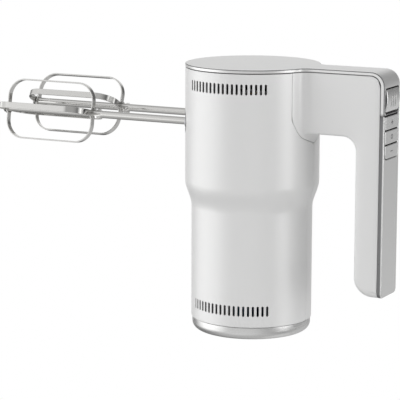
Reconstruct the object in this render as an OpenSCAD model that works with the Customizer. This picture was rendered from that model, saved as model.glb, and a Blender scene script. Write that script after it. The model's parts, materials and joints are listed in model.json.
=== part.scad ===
// Cordless hand mixer that stands on its heel: a round white body, a flat silver cover that runs
// over the arm and down the back of the handle, and two beaters at right angles to the body.
// Millimetres. Origin: centre of the foot pad's underside. +Z up the body, +X towards the handle,
// the beaters point along -X, and the left side is -Y.

/* [Body] */
// Radius of the lower body
lower_r = 41; // [40.5:0.1:41.5]
// Radius of the upper body
upper_r = 45.4; // [45:0.1:46]
// Overall height, foot to top cover
body_h = 182.1; // [181.5:0.1:183]
// Wall thickness of the mouldings
wall = 2.5; // [2:0.1:2.6]
// Height where the body starts to widen
step_low = 85.5; // [84:0.5:87]
// Height where the body reaches its full width
step_high = 103.3; // [102:0.1:105]
// Height of the silver heel cap
cap_h = 9.2; // [9:0.1:10]
// Radius of the silver heel cap
cap_r = 40.3; // [39.8:0.1:40.4]
// Rounding of the heel cap's lower edge
cap_round = 5.3; // [4:0.1:6]

/* [Vents] */
// Number of slots in each row
vent_count = 19; // [11:2:19]
// Width of one slot
vent_w = 1.5; // [1:0.1:1.8]
// Height of one slot
vent_h = 6.9; // [5:0.1:7]
// Middle of the upper row
vent_top_z = 169.35; // [168:0.05:170]
// Angle from slot to slot in the upper row
vent_top_pitch = 4.05; // [4:0.05:4.3]
// Middle of the lower row
vent_low_z = 20.35; // [20:0.05:30]
// Angle from slot to slot in the lower row
vent_low_pitch = 4.54; // [4.3:0.01:4.6]

/* [Handle] */
// Width of the arm and handle
grip_w = 26.5; // [26:0.5:28]
// Face of the handle towards the body
grip_inner_x = 80.6; // [80:0.1:81]
// Outer face of the handle's silver back
grip_outer_x = 100.5; // [100.2:0.1:101]
// Height of the handle's lower end
grip_end_z = 33; // [28:1:45]
// Underside of the arm
arm_z = 138.8; // [138:0.1:139]
// Inner corner between arm and handle
grip_corner = 9.5; // [8:0.5:11]
// Thickness of the silver cover over the body and arm
cover_t = 2.5; // [2.3:0.1:2.6]
// Thickness of the silver back strip
strip_t = 3.1; // [3:0.1:3.2]
// Height where the cover ends and the back strip starts
cover_end_z = 154; // [153.8:0.1:154.2]

/* [Controls] */
// Travel of the eject button
eject_travel = 5; // [4:0.5:5]
// Width of the three keys
key_w = 21.8; // [20:0.1:22]
// Thickness of the gap between keys
key_gap = 0.8; // [0.6:0.1:1]

/* [Beaters] */
// Height of the beater shafts
beater_z = 142.6; // [142.4:0.1:142.8]
// Distance between the beater shafts
beater_pitch = 39.5; // [39.5:0.1:39.7]
// Diameter of a beater shaft
stem_d = 5.1; // [5:0.05:5.1]
// Outer radius of a beater's wings
wing_r = 20.9; // [20:0.1:22]
// Width of the wing strip
wing_w = 4.2; // [3.5:0.1:5]
// Thickness of the wing strip
wing_t = 1; // [0.8:0.1:1.2]
// Tip of the beaters
tip_x = -183; // [-190:1:-170]
// Shaft end of the wings
neck_x = -111.2; // [-115:0.1:-105]
// Corner radius of a wing
wing_corner = 13; // [10:0.5:15]

/* [Hidden] */
$fn = 64;

// Colours of the materials
white = [0.93, 0.93, 0.92];
silver = [0.78, 0.78, 0.77];
steel = [0.72, 0.73, 0.74];
dark = [0.16, 0.16, 0.17];
brass = [0.80, 0.62, 0.32];
copper = [0.75, 0.42, 0.25];
board_green = [0.10, 0.35, 0.20];

// Small gaps and common sizes
seam = 0.2;                         // dark line left between neighbouring mouldings
run_gap = 0.05;                     // radial clearance of a shaft in its bearing
eps = 0.01;
half_w = grip_w / 2;
cover_z = body_h - cover_t;         // underside of the top cover
shell_top = cover_z - seam;         // top edge of the white mouldings
strip_x = grip_outer_x - strip_t;   // inner face of the silver back
shell_back = strip_x - seam;        // open back of the white handle
spindle_y = beater_pitch / 2;
stem_r = stem_d / 2;
inner_half = half_w - 2.2;          // half width of the channel inside the handle
outer_corner = 9.5;                 // bend of the cover at the back of the arm
grip_end_round = 3.5;               // corners of the handle's lower end, seen from behind

// Drive line
worm_pitch_r = 4.75;                // worm and wheel pitch radii add up to spindle_y
wheel_pitch_r = spindle_y - worm_pitch_r;
wheel_teeth = 30;
tooth_module = 2 * wheel_pitch_r / wheel_teeth;
lead = PI * tooth_module;           // single-start worm, right-handed
lead_angle = atan(lead / (2 * PI * worm_pitch_r));
tooth_half = 0.38 * lead / 2;       // half thickness at the pitch line, leaving backlash
pressure = 20;
plate_x = 13.5;                     // inner face of both gearbox plates
plate_t = 3.5;
deck_z = 121;
deck_t = 3;
shaft_r = 2;
hub_r = 5;
hub_bore_r = stem_r + run_gap;
mouth_x = -39;                      // open end of a spindle hub
stem_end_x = -12;                   // inner end of a beater stem
lug_x = -38.6;
rod_z = 163.5;                      // eject rod
rod_r = 2.5;
clip_x = -28;                       // detent clip and the groove that it sits in
// Turn of each beater's two loops about its shaft, upright loop first, and of its drive lugs
left_turn = [9.5, 14];
right_turn = [19, 28];
left_lug_turn = 12;
right_lug_turn = 24;

// Battery
cell_r = 9;
cell_len = 65;
cell_ring = 11.5;
cell_z = 4.5;
cell_angles = [30, 150, 270];
screw_angles = [90, 210, 330];      // heel screws
screw_ring = 27;

// Controls on the handle's back
button_low = 156;
button_high = 171;
key_top = cover_end_z - 0.4;
key_pitch = 9.5;
function key_mid(i) = key_top - key_pitch * (i + 0.5);
window_w = 22.4;
board_x = 87.4;
switch_x = 93;                      // face of the key switches
board_screw_z = [124.5, 152.9];

// ---------- helper functions ----------

function unit(v) = v / norm(v);
function turn_of(a0, a1) = let (d = a1 - a0) d > 180 ? d - 360 : d < -180 ? d + 360 : d;

// One rounded corner at p between neighbours a and b
function corner(a, p, b, r, n) =
    r == 0 ? [p] :
    let (u = unit(a - p), v = unit(b - p), half = acos(u * v) / 2,
         c = p + unit(u + v) * r / sin(half), t = r / tan(half),
         s = p + u * t - c, e = p + v * t - c,
         a0 = atan2(s[1], s[0]), da = turn_of(a0, atan2(e[1], e[0])))
    [for (i = [0:n]) c + r * [cos(a0 + da * i / n), sin(a0 + da * i / n)]];

// Outline through [x, y, corner radius] points
function rounded(pts, n = 6) = let (m = len(pts)) [
    for (i = [0:m - 1])
        let (a = pts[(i + m - 1) % m], p = pts[i], b = pts[(i + 1) % m])
        each corner([a[0], a[1]], [p[0], p[1]], [b[0], b[1]], p[2], n)
];

// Slot with round ends, w across and h high
function slot(w, h, n = 8) = let (r = min(w, h) / 2)
    rounded([[-w / 2, -h / 2, r - eps], [w / 2, -h / 2, r - eps],
             [w / 2, h / 2, r - eps], [-w / 2, h / 2, r - eps]], n);

function box_outline(w, h, r) =
    rounded([[-w / 2, -h / 2, r], [w / 2, -h / 2, r], [w / 2, h / 2, r], [-w / 2, h / 2, r]]);

// Outer radius of the body at height z: a smooth step from the lower to the upper radius
function body_radius(z) = let (t = max(0, min(1, (z - step_low) / (step_high - step_low))))
    lower_r + (upper_r - lower_r) * t * t * (3 - 2 * t);

// Extrude an outline of (x, z) points along Y, centred
module along_y(h) {
    rotate([90, 0, 0]) linear_extrude(h, center = true) children();
}

// Extrude an outline of (y, z) points along X from x0
module along_x(x0, h) {
    translate([x0, 0, 0]) rotate([90, 0, 90]) linear_extrude(h) children();
}

// Round bar along X
module bar_x(r, x0, x1, y = 0, z = 0) {
    translate([x0, y, z]) rotate([0, 90, 0]) cylinder(r = r, h = x1 - x0);
}

module tube(r_out, r_in, z0, z1) {
    difference() {
        translate([0, 0, z0]) cylinder(r = r_out, h = z1 - z0);
        translate([0, 0, z0 - 1]) cylinder(r = r_in, h = z1 - z0 + 2);
    }
}

// Screw pointing up the +Z axis: round head below z = 0, shank above
module screw(head_r, head_h, shank_r, shank_len) {
    translate([0, 0, -head_h]) cylinder(r = head_r, h = head_h);
    translate([0, 0, -eps]) cylinder(r = shank_r, h = shank_len);
}

// ---------- body ----------

// Seam of the handle's saddle on the body, as (y, z) points: straight beside the arm, then it
// passes round the arm's root and ends in a blunt point on the rear seam
saddle_half = 22.4;                 // half width beside the arm
saddle_shoulder = 148;
saddle_root = [16, 136.5];
saddle_point = 131;
function saddle_outline(grow) = let (
    half = [[saddle_root[0] + grow, saddle_root[1] - grow, 12],
            [saddle_half + grow, saddle_shoulder - grow, 8], [saddle_half + grow, body_h + 5, 0]])
    rounded(concat([[0, saddle_point - grow, 3]], half,
                   [for (i = [2:-1:0]) [-half[i][0], half[i][1], half[i][2]]]));

// Half of the body's wall, as (radius, z) points
function body_section() = let (steps = 12) concat(
    [[lower_r, cap_h + seam]],
    [for (i = [0:steps]) let (z = step_low + (step_high - step_low) * i / steps) [body_radius(z), z]],
    [[upper_r, shell_top], [upper_r - wall, shell_top]],
    [[upper_r - wall, deck_z], [upper_r - 5, deck_z], [upper_r - 5, deck_z - 2],
     [upper_r - wall, deck_z - 4]],
    [for (i = [steps:-1:0])
        let (z = step_low + (step_high - step_low) * i / steps) [body_radius(z) - wall, z]],
    [[lower_r - wall, 64], [lower_r - 4.5, 64], [lower_r - 4.5, 62], [lower_r - wall, 60]],
    [[lower_r - wall, cap_h + seam]]
);

module vent_row(r, z, pitch, facing) {
    for (i = [0:vent_count - 1])
        rotate([0, 0, facing + (i - (vent_count - 1) / 2) * pitch])
            along_x(r - wall - 3, wall + 6) translate([0, z]) polygon(slot(vent_w, vent_h, 2));
}

// Boss that takes a heel screw, with its web to the wall
module heel_boss(angle) {
    rotate([0, 0, angle]) difference() {
        union() {
            translate([screw_ring, 0, cap_h + 4.6]) cylinder(r = 3.4, h = 10);
            translate([screw_ring, -1, cap_h + 4.6])
                cube([lower_r - wall / 2 - screw_ring, 2, 9]);
        }
        translate([screw_ring, 0, cap_h]) cylinder(r = 1.25, h = 12);
    }
}

module body_half(facing) {
    difference() {
        union() {
            rotate([0, 0, facing - 90]) rotate_extrude(angle = 180) polygon(body_section());
            for (a = screw_angles)
                if (sign(sin(a)) == sign(sin(facing))) heel_boss(a);
        }
        vent_row(upper_r, vent_top_z, vent_top_pitch, facing);
        vent_row(lower_r, vent_low_z, vent_low_pitch, facing);
        along_x(20, 40) polygon(saddle_outline(seam));
        along_x(-60, 30) polygon(socket_outline(seam));
        along_x(-50, 30) translate([0, socket_z]) polygon(slot(9.8, 4.4));
    }
}

module body_left() {
    color(white) body_half(270);
}

module body_right() {
    color(white) body_half(90);
}

module base_cap() {
    pad_r = 31.2;
    spigot_r = lower_r - wall - 0.2;
    color(silver) difference() {
        rotate_extrude() polygon(rounded([
            [0, 1.4, 0], [pad_r, 1.4, 0], [pad_r, 0.4, 0], [cap_r, 0.4, cap_round],
            [cap_r, cap_h, 0.4], [spigot_r, cap_h, 0], [spigot_r, cap_h + 4, 0],
            [36, cap_h + 4, 0], [36, 3.4, 0], [0, 3.4, 0]
        ], 8));
        for (a = screw_angles) rotate([0, 0, a]) {
            translate([screw_ring, 0, 0]) cylinder(r = 1.7, h = 8);
            translate([screw_ring, 0, 0]) cylinder(r = 3, h = 2.4);
        }
    }
}

module base_pad() {
    color(dark) cylinder(r = 31, h = 1.4);
}

// ---------- handle, cover and strip ----------

// Arm seen from above, from inside the body to x_end, with fillets where it leaves the body
function arm_plan(x_end, fillet = 8) = let (
    cx = sqrt(pow(upper_r + fillet, 2) - pow(half_w + fillet, 2)), cy = half_w + fillet,
    a0 = atan2(-cy, -cx), n = 8,
    side = [for (i = [0:n]) let (a = a0 + (-90 - a0) * i / n) [cx + fillet * cos(a), cy + fillet * sin(a)]])
    concat([[20, 0]], [for (p = side) [p[0], -p[1]]], [[x_end, -half_w], [x_end, half_w]],
           [for (i = [n:-1:0]) side[i]]);

// Handle seen from behind: its lower end has rounded corners
function grip_end_outline() = rounded([[-half_w, grip_end_z, grip_end_round],
    [half_w, grip_end_z, grip_end_round], [half_w, 200, 0], [-half_w, 200, 0]]);

module handle_shell() {
    arm_top = shell_top;
    hollow_z = arm_z + 2.2;
    hollow_x = grip_inner_x + 2.2;
    color(white) difference() {
        union() {
            difference() {
                union() {
                    intersection() {
                        along_y(grip_w) polygon(rounded([
                            [shell_back, grip_end_z, 1.5], [shell_back, arm_top, outer_corner - 2.8],
                            [44, arm_top, 0], [44, arm_z, 0], [grip_inner_x, arm_z, grip_corner],
                            [grip_inner_x, grip_end_z, 12]
                        ]));
                        along_x(40, 70) polygon(grip_end_outline());
                    }
                    // fillet under the arm's root
                    intersection() {
                        along_y(grip_w) polygon(concat(
                            [[43.2, arm_z + 1], [43.2, arm_z - 6]],
                            [for (i = [0:6])
                                [upper_r + 6 - 6 * cos(15 * i), arm_z - 6 + 6 * sin(15 * i)]],
                            [[upper_r + 6, arm_z + 1]]
                        ));
                        along_x(20, 60) polygon(saddle_outline(0));
                    }
                    intersection() {
                        translate([0, 0, arm_z]) linear_extrude(arm_top - arm_z)
                            polygon(arm_plan(upper_r + 8));
                        along_x(20, 60) polygon(saddle_outline(0));
                    }
                    intersection() {
                        translate([0, 0, 128]) cylinder(r = upper_r, h = arm_top - 128);
                        along_x(20, 40) polygon(saddle_outline(0));
                    }
                }
                translate([0, 0, 100]) cylinder(r = upper_r - wall, h = 100);
                along_y(2 * inner_half) polygon(rounded([
                    [120, grip_end_z + 2.2, 0], [120, 200, 0], [20, 200, 0], [20, hollow_z, 0],
                    [hollow_x, hollow_z, 7.3], [hollow_x, grip_end_z + 2.2, 9.8]
                ]));
            }
            // web at the arm's root, guide rib, and cross ribs down the handle
            for (x = [46.5, 60]) translate([x, -inner_half - eps, hollow_z - eps])
                cube([2.5, 2 * inner_half + 2 * eps, 30]);
            for (z = [60, 85, 110]) translate([hollow_x - eps, -inner_half - eps, z])
                cube([5, 2 * inner_half + 2 * eps, 1.6]);
            for (z = board_screw_z) bar_x(2.6, hollow_x - eps, board_x, 0, z);
            // fin that carries the upper post of the control board
            translate([hollow_x - 8, -1, hollow_z - 2]) cube([9, 2, 15]);
        }
        bar_x(rod_r + run_gap, 40, 70, 0, rod_z);
        for (y = [-7.6, 7.6]) bar_x(1.4, 40, 55, y, handle_screw_z);
        // passage for the wires
        translate([40, -inner_half + 0.6, hollow_z]) cube([30, 4.4, 4.5]);
        for (z = board_screw_z) bar_x(0.9, board_x - 5, board_x + 1, 0, z);
    }
}

module top_cover() {
    window_low = cover_end_z + 1.1;
    window_high = button_high + 0.5;
    color(silver) difference() {
        union() {
            translate([0, 0, cover_z]) linear_extrude(cover_t) union() {
                circle(r = upper_r);
                polygon(arm_plan(90));
            }
            along_y(grip_w) polygon(concat(
                rounded([[89, body_h, 0], [89, cover_z, 0], [strip_x, cover_z, outer_corner - 3],
                         [strip_x, cover_end_z, 0], [grip_outer_x, cover_end_z, 0],
                         [grip_outer_x, body_h, outer_corner]], 8)
            ));
            // rim that locates the cover inside the body
            difference() {
                tube(upper_r - wall - 0.3, upper_r - wall - 2.3, cover_z - 3, cover_z + eps);
                translate([20, -30, cover_z - 5]) cube([40, 60, 5 - eps]);
            }
        }
        translate([90, -window_w / 2, window_low]) cube([20, window_w, window_high - window_low]);
    }
}

module back_strip() {
    color(silver) difference() {
        union() {
            intersection() {
                along_y(grip_w) polygon(rounded([
                    [strip_x, grip_end_z, 0], [grip_outer_x, grip_end_z, 1.5],
                    [grip_outer_x, cover_end_z - seam, 0], [strip_x, cover_end_z - seam, 0]
                ]));
                along_x(90, 20) polygon(grip_end_outline());
            }
            // stiffening rails inside the handle
            for (s = [-1, 1]) translate([strip_x - 4, s * (inner_half - 1) - 0.8, 45])
                cube([4 + eps, 1.6, 72]);
        }
        translate([90, -window_w / 2, key_top - 3 * key_pitch]) cube([20, window_w, 60]);
    }
}

// ---------- beater side of the body ----------

socket_z = 34;                      // charging socket above the foot

function socket_outline(grow) =
    [for (p = slot(54 + 2 * grow, 17 + 2 * grow, 12)) [p[0], p[1] + beater_z]];

module socket_plate() {
    color(dark) difference() {
        intersection() {
            translate([0, 0, 125]) cylinder(r = upper_r, h = 35);
            union() {
                difference() {
                    along_x(-60, 30) polygon(socket_outline(0));
                    translate([0, 0, 125]) cylinder(r = upper_r - wall, h = 35);
                }
                // collars round the spindle mouths
                for (s = [-1, 1]) bar_x(7.2, -60, -36.5, s * spindle_y, beater_z);
            }
        }
        for (s = [-1, 1]) bar_x(5.6, -60, -30, s * spindle_y, beater_z);
    }
}

module charge_socket() {
    color(steel) union() {
        difference() {
            union() {
                along_x(-lower_r - 0.2, 8.4) translate([0, socket_z]) polygon(slot(9.6, 4.2));
                along_x(-37.2, 1.2) translate([0, socket_z]) polygon(box_outline(14, 8, 1));
            }
            along_x(-50, 16) translate([0, socket_z]) polygon(slot(8.6, 3));
        }
        along_x(-lower_r + 0.8, 7.2) translate([0, socket_z]) polygon(box_outline(6.4, 0.8, 0.2));
    }
}

// ---------- gearbox frame ----------

module motor_plate() {
    color(steel) difference() {
        translate([0, 0, deck_z]) cylinder(r = upper_r - wall - 0.5, h = deck_t);
        translate([0, 0, deck_z - 1]) cylinder(r = 6.6, h = deck_t + 2);
        for (a = [0, 30, 150, 180, 210, 330]) rotate([0, 0, a])
            translate([33, 0, deck_z - 1]) cylinder(r = 6, h = deck_t + 2);
        for (p = concat(plate_screws(), motor_screws()))
            translate([p[0], p[1], deck_z - 1]) cylinder(r = 1.1, h = deck_t + 2);
    }
}

plate_mid = plate_x + plate_t / 2;
bridge_z = 158;
bridge_t = 3.5;
handle_screw_z = 154.5;
function plate_screws() = [for (x = [-plate_mid, plate_mid], y = [-30, 30]) [x, y]];
function bridge_screws() = [for (x = [-plate_mid, plate_mid], y = [-10, 10]) [x, y]];
function motor_screws() = [[0, -12.5], [0, 12.5]];

// Upright plate that carries a pair of spindle bushes
module gearbox_plate(x0) {
    z0 = deck_z + deck_t;
    difference() {
        along_x(x0, plate_t) translate([0, (z0 + bridge_z) / 2])
            polygon(rounded([[-34, (z0 - bridge_z) / 2, 0], [34, (z0 - bridge_z) / 2, 0],
                             [34, (bridge_z - z0) / 2, 12], [-34, (bridge_z - z0) / 2, 12]]));
        for (s = [-1, 1]) bar_x(7, x0 - 1, x0 + plate_t + 1, s * spindle_y, beater_z);
        for (p = plate_screws()) translate([p[0], p[1], z0 - 1]) cylinder(r = 1.1, h = 8);
        for (p = bridge_screws()) translate([p[0], p[1], bridge_z - 7]) cylinder(r = 1.1, h = 8);
    }
}

module gearbox_front_plate() {
    color(steel) gearbox_plate(-plate_x - plate_t);
}

module gearbox_rear_plate() {
    // posts that the handle is screwed to
    post_end = 46.3;
    color(steel) union() {
        gearbox_plate(plate_x);
        for (s = [-1, 1]) difference() {
            bar_x(2.4, plate_x + plate_t - eps, post_end, s * 7.6, handle_screw_z);
            bar_x(1.25, 30, post_end + 1, s * 7.6, handle_screw_z);
        }
    }
}

module top_bridge() {
    w = 2 * (plate_x + plate_t);
    color(steel) difference() {
        translate([0, 0, bridge_z]) linear_extrude(bridge_t) polygon(box_outline(w, 28, 3));
        translate([0, 0, bridge_z - 1]) cylinder(r = 3.5, h = bridge_t + 2);
        for (p = bridge_screws()) translate([p[0], p[1], bridge_z - 1]) cylinder(r = 1.1, h = 8);
    }
}

module spindle_bushes() {
    color(brass) for (s = [-1, 1], x0 = [-plate_x - plate_t, plate_x]) difference() {
        bar_x(7, x0, x0 + plate_t, s * spindle_y, beater_z);
        bar_x(hub_r + run_gap, x0 - 1, x0 + plate_t + 1, s * spindle_y, beater_z);
    }
}

module shaft_bushes() {
    color(brass) for (z = [82, deck_z - 1, bridge_z])
        tube(3.5, shaft_r + run_gap, z, z + 4);
}

// ---------- motor ----------

can_z = 88;
can_r = 20;

module motor_can() {
    top = deck_z;
    color(steel) difference() {
        union() {
            translate([0, 0, can_z]) cylinder(r = can_r, h = top - can_z);
            translate([0, 0, top - eps]) cylinder(r = 6.5, h = 3);
        }
        translate([0, 0, can_z - 1]) cylinder(r = can_r - 1.4, h = top - can_z - 0.6);
        translate([0, 0, top - 5]) cylinder(r = 3.5, h = 12);
        for (p = motor_screws()) translate([p[0], p[1], top - 5]) cylinder(r = 1.1, h = 6);
    }
}

module motor_end_cap() {
    color(dark) difference() {
        union() {
            translate([0, 0, 83.5]) cylinder(r = can_r, h = can_z - 83.5);
            translate([0, 0, 82]) cylinder(r = 6, h = 2);
            // brush holders
            for (s = [-1, 1]) translate([s * 10 - 3.5, -3, can_z - eps]) cube([7, 6, 5]);
        }
        translate([0, 0, 80]) cylinder(r = 3.5, h = 20);
        for (s = [-1, 1]) translate([s * 9 - 6, -1.6, can_z + 1]) cube([12, 3.2, 3]);
    }
}

module motor_magnets() {
    color(dark) for (a = [0, 180]) rotate([0, 0, a - 65 + 90]) rotate_extrude(angle = 130)
        translate([15.4, can_z + 6]) square([3.2, 24]);
}

module motor_brushes() {
    color(dark) for (s = [-1, 1])
        translate([s * 9.2 - 4, -1.5, can_z + 1.1]) cube([8, 3, 2.8]);
}

module motor_shaft() {
    color(steel) translate([0, 0, 75]) cylinder(r = shaft_r, h = 89);
}

module rotor_core() {
    color(steel) difference() {
        translate([0, 0, 96]) cylinder(r = 14.8, h = 19);
        translate([0, 0, 95]) cylinder(r = shaft_r, h = 21);
        for (a = [0:360 / 7:359]) rotate([0, 0, a]) {
            translate([7, -2, 95]) cube([5.6, 4, 21]);
            translate([12, -0.8, 95]) cube([4, 1.6, 21]);
        }
    }
}

module rotor_windings() {
    color(copper) {
        tube(11.5, 4, 94.2, 95.9);
        tube(11.5, 4, 115.1, 117);
        for (a = [0:360 / 7:359]) rotate([0, 0, a]) translate([7.2, -1.8, 95.9 - eps])
            cube([4.2, 3.6, 19.2 + 2 * eps]);
    }
}

module commutator() {
    color(copper) tube(5, shaft_r, can_z + 0.6, 94);
}

module cooling_fan() {
    color(dark) difference() {
        union() {
            translate([0, 0, 76]) cylinder(r = 5, h = 5.4);
            translate([0, 0, 80.4]) cylinder(r = 24, h = 1);
            for (a = [0:40:359]) rotate([0, 0, a]) translate([4, -0.5, 76.4])
                rotate([0, 0, 12]) cube([19, 1, 4.2]);
        }
        translate([0, 0, 70]) cylinder(r = shaft_r, h = 20);
    }
}

// ---------- worm and wheels ----------

// Half thickness of a tooth at a distance d outside its pitch line
function flank(d) = tooth_half - d * tan(pressure);

module worm() {
    core_r = worm_pitch_r - 1.25 * tooth_module;
    tip_r = worm_pitch_r + tooth_module;
    turns = 6;
    per_turn = 16;
    rings = turns * per_turn;
    root_r = core_r - 0.2;
    section = [[root_r, flank(root_r - worm_pitch_r)], [tip_r, flank(tooth_module)],
               [tip_r, -flank(tooth_module)], [root_r, -flank(root_r - worm_pitch_r)]];
    // the ridge passes the left wheel's contact point at the height of its axis
    start_z = beater_z + lead / 4 - lead * turns / 2;
    points = [for (i = [0:rings]) let (a = 360 * i / per_turn) for (p = section)
        [p[0] * cos(a), p[0] * sin(a), start_z + lead * i / per_turn + p[1]]];
    sides = [for (i = [0:rings - 1], k = [0:3]) let (j = (k + 1) % 4, b = 4 * i)
        each [[b + k, b + 4 + k, b + 4 + j], [b + k, b + 4 + j, b + j]]];
    last = 4 * rings;
    color(brass) union() {
        difference() {
            translate([0, 0, beater_z - 12]) cylinder(r = core_r, h = 24);
            translate([0, 0, beater_z - 13]) cylinder(r = shaft_r, h = 26);
        }
        polyhedron(points, concat(sides, [[0, 1, 2], [0, 2, 3],
            [last, last + 2, last + 1], [last, last + 3, last + 2]]));
    }
}

// Worm wheel about Z, first tooth at angle phase
module worm_wheel(phase) {
    face = 7;
    root_r = wheel_pitch_r - 1.25 * tooth_module;
    tip_r = wheel_pitch_r + tooth_module;
    difference() {
        union() {
            cylinder(r = root_r, h = face, center = true);
            for (i = [0:wheel_teeth - 1]) rotate([0, 0, phase + 360 * i / wheel_teeth])
                rotate([-lead_angle, 0, 0]) linear_extrude(face - 0.4, center = true) polygon([
                    [root_r - 0.4, -flank(-1.65 * tooth_module)], [tip_r, -flank(tooth_module)],
                    [tip_r, flank(tooth_module)], [root_r - 0.4, flank(-1.65 * tooth_module)]
                ]);
            translate([0, 0, face / 2 - eps]) cylinder(r = 7.5, h = plate_x - 0.3 - face / 2);
        }
        translate([0, 0, -face]) cylinder(r = hub_r, h = 40);
    }
}

// Move a part built about Z onto a spindle, its +Z along +X
module on_spindle(side) {
    translate([0, side * spindle_y, beater_z]) rotate([0, 90, 0]) children();
}

module worm_wheel_left() {
    // a gap between teeth faces the worm
    color(white) on_spindle(-1) worm_wheel(90 + 180 / wheel_teeth);
}

module worm_wheel_right() {
    // half a lead further round the worm, a tooth faces it
    color(white) on_spindle(1) worm_wheel(-90);
}

module spindle_hub(side, turn) {
    color(steel) translate([0, side * spindle_y, beater_z]) rotate([-turn, 0, 0]) difference() {
        union() {
            bar_x(hub_r, mouth_x, 19.5);
            bar_x(7.5, -plate_x + 0.3, -3.6);
        }
        bar_x(hub_bore_r, mouth_x - 1, 21);
        // slots for the beater's drive lugs
        translate([mouth_x - 1, -4.3, -0.8]) cube([6.4, 8.6, 1.6]);
        // notch for the detent clip
        translate([clip_x - 0.7, -6, 2.05]) cube([1.4, 12, 4]);
    }
}

module spindle_hub_left() {
    spindle_hub(-1, left_lug_turn);
}

module spindle_hub_right() {
    spindle_hub(1, right_lug_turn);
}

// Wire clip round the hub, its straight leg in the stem's groove
module detent_clip(side, turn) {
    leg_z = 2.65;
    ring_r = 5.65;
    wire_r = 0.5;
    a = asin(leg_z / ring_r);
    color(steel) translate([clip_x, side * spindle_y, beater_z]) rotate([-turn, 0, 0]) union() {
        translate([0, -ring_r * cos(a), leg_z]) rotate([-90, 0, 0])
            cylinder(r = wire_r, h = 2 * ring_r * cos(a), $fn = 24);
        rotate([90, 0, 90]) rotate([0, 0, 180 - a]) rotate_extrude(angle = 180 + 2 * a)
            translate([ring_r, 0]) circle(r = wire_r, $fn = 24);
    }
}

module detent_clip_left() {
    detent_clip(-1, left_lug_turn);
}

module detent_clip_right() {
    detent_clip(1, right_lug_turn);
}

module push_pin(side) {
    color(steel) union() {
        bar_x(stem_r, stem_end_x + 0.3, 30, side * spindle_y, beater_z);
        bar_x(4, 29, 31, side * spindle_y, beater_z);
    }
}

module push_pin_left() {
    push_pin(-1);
}

module push_pin_right() {
    push_pin(1);
}

// ---------- beaters ----------

module beater_stem(side, turn) {
    color(steel) translate([0, side * spindle_y, beater_z]) rotate([-turn, 0, 0]) difference() {
        union() {
            bar_x(stem_r, tip_x - 0.4, stem_end_x);
            bar_x(3.2, tip_x - 0.8, tip_x);
            // crimped ears that hold the loops' shaft end
            rotate([66, 0, 0]) translate([neck_x + 1.2, -3.9, -0.5]) cube([3.4, 7.8, 1]);
            translate([lug_x, -4, -0.6]) cube([4.6, 8, 1.2]);
        }
        // groove for the detent clip
        difference() {
            bar_x(4, clip_x - 0.8, clip_x + 0.8);
            bar_x(2.1, clip_x - 1, clip_x + 1);
        }
    }
}

module beater_stem_left() {
    beater_stem(-1, left_lug_turn);
}

module beater_stem_right() {
    beater_stem(1, right_lug_turn);
}

// Closed strip in the XZ plane, with its own inset at the tip and at the neck so that the
// upright loop nests in the level one
module beater_loop(side, turn, tip_inset, neck_inset) {
    x0 = tip_x + tip_inset;
    x1 = neck_x - neck_inset;
    eye_r = 4;
    color(steel) translate([0, side * spindle_y, beater_z]) rotate([-turn, 0, 0]) difference() {
        union() {
            along_y(wing_w) difference() {
                polygon(rounded([[x0, -wing_r, wing_corner], [x1, -wing_r, wing_corner],
                                 [x1, wing_r, wing_corner], [x0, wing_r, wing_corner]], 8));
                polygon(rounded([
                    [x0 + wing_t, -wing_r + wing_t, wing_corner - wing_t],
                    [x1 - wing_t, -wing_r + wing_t, wing_corner - wing_t],
                    [x1 - wing_t, wing_r - wing_t, wing_corner - wing_t],
                    [x0 + wing_t, wing_r - wing_t, wing_corner - wing_t]], 8));
            }
            for (x = [x0, x1 - wing_t]) bar_x(eye_r, x, x + wing_t);
        }
        bar_x(stem_r, tip_x - 5, neck_x + 5);
    }
}

module beater_loop_left_outer() {
    beater_loop(-1, left_turn[1] - 90, wing_t, 0);
}

module beater_loop_left_inner() {
    beater_loop(-1, left_turn[0], 2 * wing_t, wing_t);
}

module beater_loop_right_outer() {
    beater_loop(1, right_turn[1] - 90, wing_t, 0);
}

module beater_loop_right_inner() {
    beater_loop(1, right_turn[0], 2 * wing_t, wing_t);
}

// ---------- eject ----------

module eject_button() {
    mid = (button_low + button_high) / 2 + 0.6;
    crown_r = 24;
    crown_x = 101.8;
    color(silver) union() {
        intersection() {
            along_x(94, 10) translate([0, (button_low + button_high) / 2])
                polygon(box_outline(21.4, button_high - button_low, 1.2));
            translate([crown_x - crown_r, -20, mid]) rotate([-90, 0, 0])
                cylinder(r = crown_r, h = 40);
        }
        // raised grip lines
        for (y = [-3.5, 0, 3.5]) intersection() {
            translate([98, y - 0.45, 159]) cube([6, 0.9, 7.7]);
            translate([crown_x - crown_r, -20, mid]) rotate([-90, 0, 0])
                cylinder(r = crown_r + 0.35, h = 40);
        }
        difference() {
            bar_x(4.4, 86, 94 + eps, 0, rod_z);
            bar_x(rod_r, 85, 92, 0, rod_z);
        }
    }
}

module eject_rod() {
    color(steel) union() {
        bar_x(rod_r, 34.3, 92, 0, rod_z);
        bar_x(4.4, 82, 84, 0, rod_z);
    }
}

// Crossbar that holds both push pins by their heads, with a leg up to the rod
module eject_slide() {
    back_x = 31.3;
    low_z = beater_z - 5.5;
    color(dark) difference() {
        union() {
            translate([back_x, -24.5, low_z]) cube([3, 49, 12]);
            translate([26, -24.5, beater_z + 4.5]) cube([8, 49, 2]);
            translate([26, -24.5, low_z]) cube([2.7, 49, 12]);
            translate([back_x, -5, beater_z + 6]) cube([3, 10, rod_z - beater_z - 2]);
        }
        // slots for the pins' necks
        for (s = [-1, 1]) {
            bar_x(3, 25, 29, s * spindle_y, beater_z);
            translate([25, s * spindle_y - 3, low_z - 1]) cube([4, 6, 6.5]);
        }
        // clear of the worm shaft side, between the two hooks
        translate([25, -13, low_z - 1]) cube([4, 26, 20]);
        bar_x(1.5, 30, 40, 0, rod_z);
    }
}

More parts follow.
